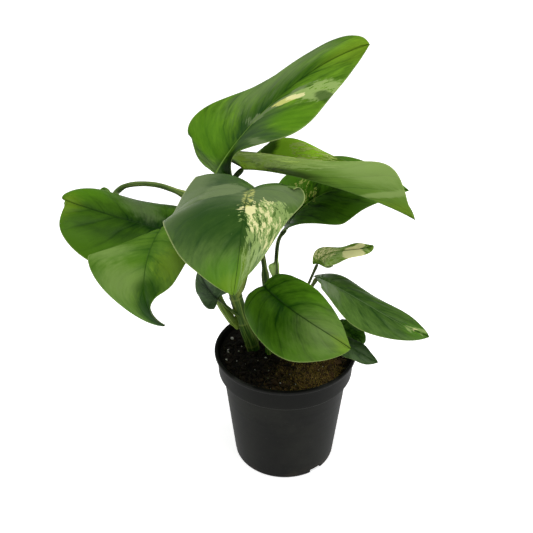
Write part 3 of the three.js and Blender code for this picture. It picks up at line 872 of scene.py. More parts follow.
class Scatter(Form):
    """Loose matter of one sort, strewn over a surface within a ring round a middle."""

    def __init__(self, grain: Grain) -> None:
        """Builds the tree.

        Args:
            grain: The sort of grain that it strews.
        """
        sizes = {
            "Density": 100.0, "Middle x": 0.0, "Middle y": 0.0, "Reach": 0.053, "Ragged": 0.0, "Small": 0.001,
            "Large": 0.003, "Flat": 0.6, "Lift": 0.0, "Jagged": 0.35, "Rim": 0.0535,
        }
        label, lean = grain.value
        super().__init__(f"Scattered {label}", {**sizes, "Seed": 1})
        seed = self["Seed"]
        x, y, z = self.split(self.geo("InputPosition"))
        dx, dy = x - self["Middle x"], y - self["Middle y"]
        torn = (self.noise(self.vector(x, y, 0.0), 90.0, 2.0) - 0.5) * self["Ragged"] * 2.0
        near = ((dx * dx + dy * dy) ** 0.5 + torn).below(self["Reach"])
        up = self.split(self.geo("InputNormal"))[2].above(LEVEL) * z.above(WALL_TOP)
        up = up * (x * x + y * y).below(self["Rim"] * self["Rim"])
        ground = {"Mesh": self["Geometry"], "Selection": (near * up).above(0.5)}
        ground = {**ground, "Density": self["Density"], "Seed": seed}
        points = self.geo("DistributePointsOnFaces", ground, distribute_method="RANDOM")
        points = self.moved(points, Offset=self.vector(0.0, 0.0, self["Lift"]))
        size = self.random(0.0, 1.0, seed + 1) ** 2.0
        size = self["Small"] + (self["Large"] - self["Small"]) * size
        limits = {0: (-lean, -lean, 0.0), 1: (lean, lean, TURN), "Seed": seed + 2}
        spin = self.out("FunctionNodeRandomValue", limits, data_type="FLOAT_VECTOR")
        if grain in (Grain.TUFT, Grain.FIBRE):
            scale = self.vector(size, size, size)
        else:
            scale = self.vector(size, size * self.random(0.5, 1.0, seed + 3), size * self["Flat"])
        laid = {"Points": points, "Instance": self.one(grain), "Rotation": spin, "Scale": scale}
        laid = self.geo("InstanceOnPoints", laid)
        laid = self.store(laid, "grain_tone", self.random(0.0, 1.0, seed + 4), domain="INSTANCE")
        real = self.geo("RealizeInstances", {"Geometry": laid})
        rub = self.noise(self.geo("InputPosition"), 420.0, 1.0, 0.5, 1)
        shift = self.scaled(self.arrows("SUBTRACT", rub, (0.5, 0.5, 0.5)), self["Jagged"] * self["Large"])
        self.close(self.moved(real, Offset=shift))

    def one(self, grain: Grain) -> Wire:
        """Makes one grain of unit size.

        Args:
            grain: Its sort.

        Returns:
            Its mesh.
        """
        if grain is Grain.TUFT:
            blade = {"Radius Top": 0.0, "Radius Bottom": 0.07, "Depth": 1.0}
            return self.geo("MeshCone", {"Vertices": 3, "Side Segments": 2, **blade})
        if grain is Grain.FIBRE:
            bow = {
                "Resolution": 6, "Start": (-0.5, 0.0, -0.05), "Start Handle": (-0.2, 0.3, 0.16),
                "End Handle": (0.2, -0.3, 0.16), "End": (0.5, 0.0, -0.05),
            }
            ring = self.geo("CurvePrimitiveCircle", {"Resolution": 3, "Radius": 0.016})
            thread = {"Curve": self.geo("CurvePrimitiveBezierSegment", bow), "Profile Curve": ring}
            return self.geo("CurveToMesh", {**thread, "Fill Caps": True})
        if grain is Grain.CHIP:
            return self.geo("MeshCylinder", {"Vertices": 6, "Radius": 0.5, "Depth": 0.6})
        finer = 2 if grain is Grain.PERLITE else 1
        return self.geo("MeshIcoSphere", {"Radius": 0.5, "Subdivisions": finer})


# The outline of one half of a blade: along the midrib, and out from it, as shares of length and half width
HALF_OUTLINE = np.array(
    [(0, 0), (-0.05, 0.24), (-0.065, 0.52), (0, 0.79), (0.13, 0.95), (0.32, 1), (0.54, 0.87), (0.75, 0.58),
     (0.91, 0.24), (1, 0)],
    float,
)
VEIN_SWEEP = 1.8
CURL_REACH = 0.3
FLATTEST_TURN = 1e-3
# The midrib, in millimetres, of a blade that has the full relief; shorter ones have less of it
LONG_MIDRIB = 110
# How finely curves are read: points along a midrib, and between two stops of a stalk's route
MIDRIB_POINTS = 201
ROUTE_POINTS = 40
# Where the line round a corner of the pot's section is read
CORNER_SHARES = (0.0, 0.33, 0.67, 1.0)


def spline_points(points: np.ndarray, share: np.ndarray) -> np.ndarray:
    """Reads a uniform Catmull-Rom spline.

    Args:
        points: The points that it passes through.
        share: Where to read it, from 0 to 1.

    Returns:
        A point for each share.
    """
    last = len(points) - 1
    place = np.clip(share * last, 0, last - 1e-9)
    at = np.floor(place).astype(int)
    w = (place - at)[:, None]
    before, here, there, after = (points[np.clip(at + step, 0, last)] for step in (-1, 0, 1, 2))
    start, end = (there - before) / 2, (after - here) / 2
    cubic, square = 2 * here - 2 * there + start + end, 3 * there - 3 * here - 2 * start - end
    return cubic * w**3 + square * w**2 + start * w + here


def bezier(points: Sequence[Point], t: np.ndarray) -> tuple[np.ndarray, np.ndarray]:
    """Reads a cubic Bezier curve.

    Args:
        points: Its four points.
        t: Where to read it, as a column of shares from 0 to 1.

    Returns:
        The places, and the direction at each.
    """
    a, b, c, d = (np.array(point, float) for point in points)
    place = (1 - t) ** 3 * a + 3 * (1 - t) ** 2 * t * b + 3 * (1 - t) * t**2 * c + t**3 * d
    return place, unit((1 - t) ** 2 * (b - a) + 2 * (1 - t) * t * (c - b) + t**2 * (d - c))


def facing(turn: float, rise: float) -> np.ndarray:
    """Gives the direction with a turn from -Y towards +X and a rise above the horizon, in degrees."""
    a, e = math.radians(turn), math.radians(rise)
    return np.array([math.sin(a) * math.cos(e), -math.cos(a) * math.cos(e), math.sin(e)])


def unit(vectors: np.ndarray) -> np.ndarray:
    """Makes each vector one unit long."""
    return vectors / np.maximum(np.linalg.norm(vectors, axis=-1, keepdims=True), 1e-12)


@dataclass
class LeafBlade:
    """A blade, in millimetres and degrees.

    The midrib is a Bezier curve. Pairs are for the right and left half, and a pair in a pair is at base
    and tip. Rows and columns are the mesh's, and spread is how much finer the columns are at the midrib.
    """

    name: str
    midrib: tuple[Point, Point, Point, Point]
    width: Pair
    face: tuple[Pair, Pair]
    rise: tuple[Pair, Pair]
    turn: tuple[Pair, Pair]
    wave: Point
    shape: Pair
    lobes: Pair
    finish: LeafFinish
    curl: Pair = (0.0, 0.0)
    patches: tuple[Patch, ...] = ()
    rows: int = 132
    columns: int = 28
    thickness: float = 0.56
    margin: float = 0.3
    spread: float = 1.5

    def surface(self, v: np.ndarray, u: np.ndarray) -> tuple[np.ndarray, np.ndarray, np.ndarray]:
        """Places points on the blade's middle surface.

        Args:
            v: Rows, from the base to the tip.
            u: Shares out from the midrib, negative on the left.

        Returns:
            The points, their share along the midrib, and their distance out from it.
        """
        left = u < 0
        side = left.astype(int)
        margin = spline_points(HALF_OUTLINE, v)
        shift, fullness = self.shape
        ahead = np.clip(margin[:, 0], 1e-9, 1) ** shift
        reach = np.where(margin[:, 0] > 0, ahead, margin[:, 0] * np.array(self.lobes)[side])
        root = v**VEIN_SWEEP
        along = root + (reach - root) * np.abs(u)
        out = np.maximum(margin[:, 1], 0) ** fullness * np.abs(u)

        t = np.clip(along, 0, 1)[:, None]
        middle, tangent = bezier(self.midrib, t)
        middle = middle + tangent * (along[:, None] - t) * self.length()
        up = facing(*self.face[0]) * (1 - t) + facing(*self.face[1]) * t
        up = unit(up - tangent * np.sum(up * tangent, axis=1, keepdims=True))
        across = np.cross(tangent, up) * np.where(left, -1, 1)[:, None]

        def at_side(pairs: Sequence[Pair]) -> np.ndarray:
            """Runs a pair of values from base to tip, for each point's own half."""
            ends = np.array(pairs, float)[side]
            return ends[:, 0] + (ends[:, 1] - ends[:, 0]) * t[:, 0]

        near_base = np.maximum(0, 1 - t[:, 0] / CURL_REACH) ** 2
        rise = np.radians(at_side(self.rise) + np.array(self.curl)[side] * near_base)
        turn = np.radians(at_side(self.turn))
        turn = np.where(np.abs(turn) < FLATTEST_TURN, FLATTEST_TURN, turn)
        width = np.array(self.width)[side]
        height, waves, start = self.wave
        sideways = width / turn * (np.sin(rise + turn * out) - np.sin(rise))
        bend = width / turn * (np.cos(rise) - np.cos(rise + turn * out))
        ripple = height * out**2 * np.sin(TURN * (waves * along + start))
        places = middle + across * sideways[:, None] + up * (bend + ripple)[:, None]
        return places, along, out * width

    def length(self) -> float:
        """Measures the midrib."""
        line = bezier(self.midrib, np.linspace(0, 1, MIDRIB_POINTS)[:, None])[0]
        return float(np.linalg.norm(np.diff(line, axis=0), axis=1).sum())

    def mesh(self) -> bpy.types.Mesh:
        """Makes the closed blade: two faces and a rounded rim, with the places that its finish reads.

        Returns:
            The mesh, in metres.
        """
        steps = (np.arange(self.columns + 1) / self.columns) ** self.spread
        across = np.concatenate([-steps[:0:-1], steps])
        wide = len(across)
        rows = np.arange(1, self.rows) / self.rows
        v = np.concatenate([[0.0], np.repeat(rows, wide), [1.0]])
        u = np.concatenate([[0.0], np.tile(across, len(rows)), [0.0]])
        places, along, out = self.surface(v, u)
        tip = len(v) - 1

        grid = 1 + np.arange(len(rows) * wide).reshape(len(rows), wide)
        quads = np.stack([grid[:-1, :-1], grid[:-1, 1:], grid[1:, 1:], grid[1:, :-1]], axis=-1).reshape(-1, 4)
        first, final = grid[0].tolist(), grid[-1].tolist()
        ends = [(0, there, here) for here, there in zip(first, first[1:])]
        ends += [(here, there, tip) for here, there in zip(final, final[1:])]

        normals = np.zeros_like(places)
        for triangles in (quads[:, [0, 1, 2]], quads[:, [0, 2, 3]], np.array(ends)):
            p, q, r = (places[triangles[:, k]] for k in range(3))
            face = np.cross(q - p, r - p)
            for k in range(3):
                np.add.at(normals, triangles[:, k], face)
        normals = unit(normals)

        half = (self.margin + (self.thickness - self.margin) * (1 - np.abs(u) ** 6)) / 2
        upper = places + normals * half[:, None]
        lower = places - normals * half[:, None]
        loop = np.concatenate([[0], grid[:, 0], [tip], grid[::-1, -1]])
        inward = np.concatenate([[grid[0, wide // 2]], grid[:, 1], [grid[-1, wide // 2]], grid[::-1, -2]])
        rim = places[loop] + unit(places[loop] - places[inward]) * (self.margin * 0.4)

        count = len(places)
        faces = quads.tolist() + ends + (quads[:, ::-1] + count).tolist()
        faces += [tuple(corner + count for corner in face[::-1]) for face in ends]
        for i, here in enumerate(loop.tolist()):
            k = (i + 1) % len(loop)
            there = int(loop[k])
            faces.append((here, there, 2 * count + k, 2 * count + i))
            faces.append((2 * count + i, 2 * count + k, there + count, here + count))

        mesh = bpy.data.meshes.new(self.name)
        mesh.from_pydata((np.concatenate([upper, lower, rim]) * MM).tolist(), [], faces)
        way, signed_out = along * self.length() * MM, out * np.where(u < 0, -1, 1) * MM
        carried = {
            "blade_place": [np.stack([v, u, along], axis=1)] * 2,
            "blade_flat": [np.stack([way, signed_out, np.full(count, layer)], axis=1) for layer in (1, -1)],
            "blade_normal": [normals] * 2,
        }
        for name, (top, under) in carried.items():
            edge = top[loop].copy()
            if name == "blade_flat":
                edge[:, 2] = 0
            values = np.concatenate([top, under, edge]).astype(np.float32)
            mesh.attributes.new(name, "FLOAT_VECTOR", "POINT").data.foreach_set("vector", values.ravel())
        mesh.polygons.foreach_set("use_smooth", [True] * len(mesh.polygons))
        mesh.update()
        return mesh

    def build(self, relief: BladeRelief) -> None:
        """Makes the blade and fastens it to the frame.

        Args:
            relief: The tree that shapes its veins.
        """
        small = min(1.0, self.length() / LONG_MIDRIB)
        depths = {label: depth * small for label, depth in RELIEF.items()}
        dress = self.finish.material(self.name, self.patches)
        piece = relief.shape(
            f"{self.name}_blade", self.mesh(), dress, Veins=self.finish.veins, Seed=self.finish.seed, **depths
        )
        hand_in(piece, self.name)


@dataclass
class Stalk:
    """A stem or a stalk, in millimetres: its route from the lower end up, and its radius at both ends."""

    name: str
    route: tuple[Point, ...]
    radii: Pair
    finish: StalkFinish
    sheath: float = 0.0
    swell: float = 0.45
    groove: float = 0.3
    rings: float = 0.0
    knee: float = 0.25
    wing: float = 0.0
    steps: int = 72
    sides: int = 24

    def path(self) -> np.ndarray:
        """Lays a smooth path through the route, with evenly spaced points.

        Returns:
            The points, in millimetres.
        """
        stops = np.array(self.route, float)
        stops = np.vstack([2 * stops[0] - stops[1], stops, 2 * stops[-1] - stops[-2]])
        parts = []
        for i in range(1, len(stops) - 2):
            a, b, c, d = stops[i - 1 : i + 3]
            first, second, third = (float(np.linalg.norm(q - p)) ** 0.5 for p, q in ((a, b), (b, c), (c, d)))
            start = ((b - a) / first - (c - a) / (first + second) + (c - b) / second) * second
            end = ((c - b) / second - (d - b) / (second + third) + (d - c) / third) * second
            w = np.linspace(0, 1, ROUTE_POINTS, endpoint=i == len(stops) - 3)[:, None]
            cubic, square = 2 * b - 2 * c + start + end, 3 * c - 3 * b - 2 * start - end
            parts.append(b + start * w + square * w**2 + cubic * w**3)
        line = np.vstack(parts)
        run = np.concatenate([[0], np.cumsum(np.linalg.norm(np.diff(line, axis=0), axis=1))])
        even = np.linspace(0, run[-1], self.steps + 1)
        return np.stack([np.interp(even, run, line[:, axis]) for axis in range(3)], axis=1)

    def build(self, sweep: SweptStalk) -> None:
        """Makes the stalk and fastens it to the frame.

        Args:
            sweep: The tree that sweeps it.
        """
        piece = sweep.shape(
            f"{self.name}_grown", line_mesh(self.name, self.path()), self.finish.material(self.name),
            Sides=self.sides, Low_radius=self.radii[0] * MM, High_radius=self.radii[1] * MM,
            Sheath=self.sheath, Swell=self.swell if self.sheath else 0.0, Groove=self.groove,
            Rings=self.rings, Knee=self.knee, Wing=self.wing,
        )
        hand_in(piece, self.name)


def line_mesh(name: str, points: Sequence[Sequence[float]]) -> bpy.types.Mesh:
    """Makes a line through points.

    Args:
        name: The mesh's name.
        points: The points, in millimetres.

    Returns:
        The mesh, which has no faces.
    """
    mesh = bpy.data.meshes.new(name)
    edges = [(i, i + 1) for i in range(len(points) - 1)]
    mesh.from_pydata([tuple(part * MM for part in point) for point in points], edges, [])
    return mesh


def turned_line(name: str, profile: Sequence[Pair]) -> bpy.types.Mesh:
    """Makes a line in the XZ plane from radii and heights in millimetres."""
    return line_mesh(name, [(radius, 0.0, height) for radius, height in profile])


def rounded(corners: Sequence[Pair], radius: float, step: float) -> list[Pair]:
    """Rounds the corners of an open line and divides its long runs.

    Args:
        corners: The corners, in order.
        radius: How far from a corner its rounding starts.
        step: The longest run that is left undivided.

    Returns:
        The finer line.
    """
    points = [np.array(corner, float) for corner in corners]
    line = [points[0]]
    for before, here, after in zip(points, points[1:], points[2:]):
        arms = [other - here for other in (before, after)]
        lengths = [np.linalg.norm(arm) for arm in arms]
        start, end = (here + arm * min(radius, long * 0.4) / long for arm, long in zip(arms, lengths))
        line += [(1 - w) ** 2 * start + 2 * w * (1 - w) * here + w**2 * end for w in CORNER_SHARES]
    line.append(points[-1])
    fine = [line[0]]
    for here, there in zip(line, line[1:]):
        parts = max(1, math.ceil(float(np.linalg.norm(there - here)) / step))
        fine += [here + (there - here) * k / parts for k in range(1, parts + 1)]
    return [(float(r), float(z)) for r, z in fine]


@dataclass
class NurseryPot:
    """The pot, in millimetres: a tapering wall, a straight band with a rolled lip, and a channel in the base.

    The channel is given by its inner and outer radius and its rise, and the wall's faint moulding rings by
    their depth, pitch, and the height and spread of the strongest ones.
    """

    height: float = 109.0
    lip_radius: float = 60.0
    band_radius: float = 57.0
    band_height: float = 22.0
    wall_top_radius: float = 53.0
    base_radius: float = 44.0
    wall: float = 1.3
    floor: float = 1.8
    channel: Point = (31.0, 37.0, 2.4)
    moulding: tuple[float, float, float, float] = (0.07, 4.6, 70, 16)
    corner: float = 0.55
    longest_run: float = 3.0
    sides: int = 168

    def profile(self) -> list[Pair]:
        """Gives the corners of the wall's section, from the axis round the outside and back.

        Returns:
            Radius and height of each corner.
        """
        top, lip, band = self.height, self.lip_radius, self.band_radius
        foot, wall_top, base = self.height - self.band_height, self.wall_top_radius, self.base_radius
        inner, outer, rise = self.channel
        inside = rise + self.floor
        return [
            (0, 0), (inner - 1, 0), (inner, rise), (outer, rise), (outer + 1, 0), (base - 1.6, 0),
            (base - 0.4, 0.5), (base, 1.8), (wall_top, foot - 0.8), (wall_top + 0.6, foot),
            (band - 1, foot + 0.4), (band, foot + 1.5), (band + 0.8, top - 4), (lip - 0.6, top - 3.6),
            (lip, top - 2.6), (lip, top - 0.9), (lip - 0.8, top), (band + 0.8, top), (band, top - 1),
            (band - self.wall, foot + 2.2), (wall_top - self.wall, foot - 0.6),
            (base - self.wall, inside + 1.6), (base - self.wall - 1, inside), (inner - 0.6, inside),
            (inner - 1.6, self.floor), (0, self.floor),
        ]

    def build(self) -> None:
        """Makes the pot and fastens it to the frame."""
        foot, top = self.base_radius, self.wall_top_radius
        wall_height = self.height - self.band_height
        depth, pitch, middle, spread = self.moulding
        ringed = []
        for radius, height in rounded(self.profile(), self.corner, self.longest_run):
            on_wall = foot + 0.2 < radius < top and 4 < height < wall_height - 3
            outside = on_wall and radius > foot + (top - foot) * height / wall_height - 0.6
            strength = depth * math.exp(-(((height - middle) / spread) ** 2))
            ring = math.sin(height * TURN / pitch) * strength
            ringed.append((radius + (ring if outside else 0.0), height))
        line = turned_line("pot_profile", ringed)
        shell = TurnedPot().shape("pot_shell", line, PotFinish().material(), Sides=self.sides)
        hand_in(shell, "pot")


LOOSE_MATTER = [
    ("soil_crumbs", Grain.CRUMB, GrainFinish(paint(6, 5, 3), paint(112, 86, 48)),
     dict(Density=240000.0, Small=0.0007, Large=0.0052, Flat=0.7, Jagged=0.5, Reach=0.0535, Seed=11)),
    ("soil_bark", Grain.CHIP, GrainFinish(paint(8, 6, 4), paint(92, 66, 36)),
     dict(Density=26000.0, Small=0.0022, Large=0.0085, Flat=0.3, Lift=0.0004, Reach=0.051, Seed=23)),
    ("soil_perlite", Grain.PERLITE, GrainFinish(paint(150, 150, 140), paint(236, 236, 228), 0.8, 1500.0, 0.3),
     dict(Density=4200.0, Small=0.0009, Large=0.0034, Flat=0.85, Lift=0.0005, Seed=35)),
    ("soil_moss", Grain.TUFT, GrainFinish(paint(18, 13, 4), paint(222, 188, 100), shaded=0.5),
     dict(Density=2400000.0, Small=0.0012, Large=0.0042, Jagged=0.2, Middle_x=0.024, Middle_y=-0.034,
          Reach=0.024, Ragged=0.03, Seed=47)),
    ("soil_fibres", Grain.FIBRE, GrainFinish(paint(70, 52, 30), paint(170, 146, 96), 0.7),
     dict(Density=24000.0, Small=0.004, Large=0.012, Jagged=0.12, Lift=0.0006, Reach=0.046, Seed=59)),
]


@dataclass
class PottingSoil:
    """The soil, in millimetres, and the loose matter on it."""

    pot: NurseryPot
    top: float = 103.5
    gap: float = 0.3
    rings: int = 64
    sides: int = 160

    def profile(self) -> list[Pair]:
        """Gives the section of the soil, from the axis under it round to the axis on top.

        Returns:
            Radius and height of each corner.
        """
        pot, gap = self.pot, self.gap
        foot = pot.height - pot.band_height
        floor = pot.channel[2] + pot.floor + gap
        base, wall_top = pot.base_radius - pot.wall, pot.wall_top_radius - pot.wall
        rim = pot.band_radius - pot.wall - gap
        under = [
            (0, pot.floor + gap), (pot.channel[0] - 2, pot.floor + gap), (pot.channel[0] - 1, floor),
            (base - 1.4, floor), (base - 0.4, floor + 1.6), (wall_top - 0.4, foot - 0.4),
            (rim - 0.2, foot + 2.4),
        ]
        return under + [(rim * (1 - ring / self.rings), self.top) for ring in range(self.rings + 1)]

    def build(self) -> None:
        """Makes the soil and everything strewn on it, and fastens them to the frame."""
        line = turned_line("soil_profile", self.profile())
        bed = TurnedSoil().shape("soil_bed", line, SoilFinish().material(), Sides=self.sides)
        hand_in(bed, "soil")
        for name, grain, finish, sizes in LOOSE_MATTER:
            hand_in(Scatter(grain).shape(name, bed.data.copy(), finish.material(name), **sizes))


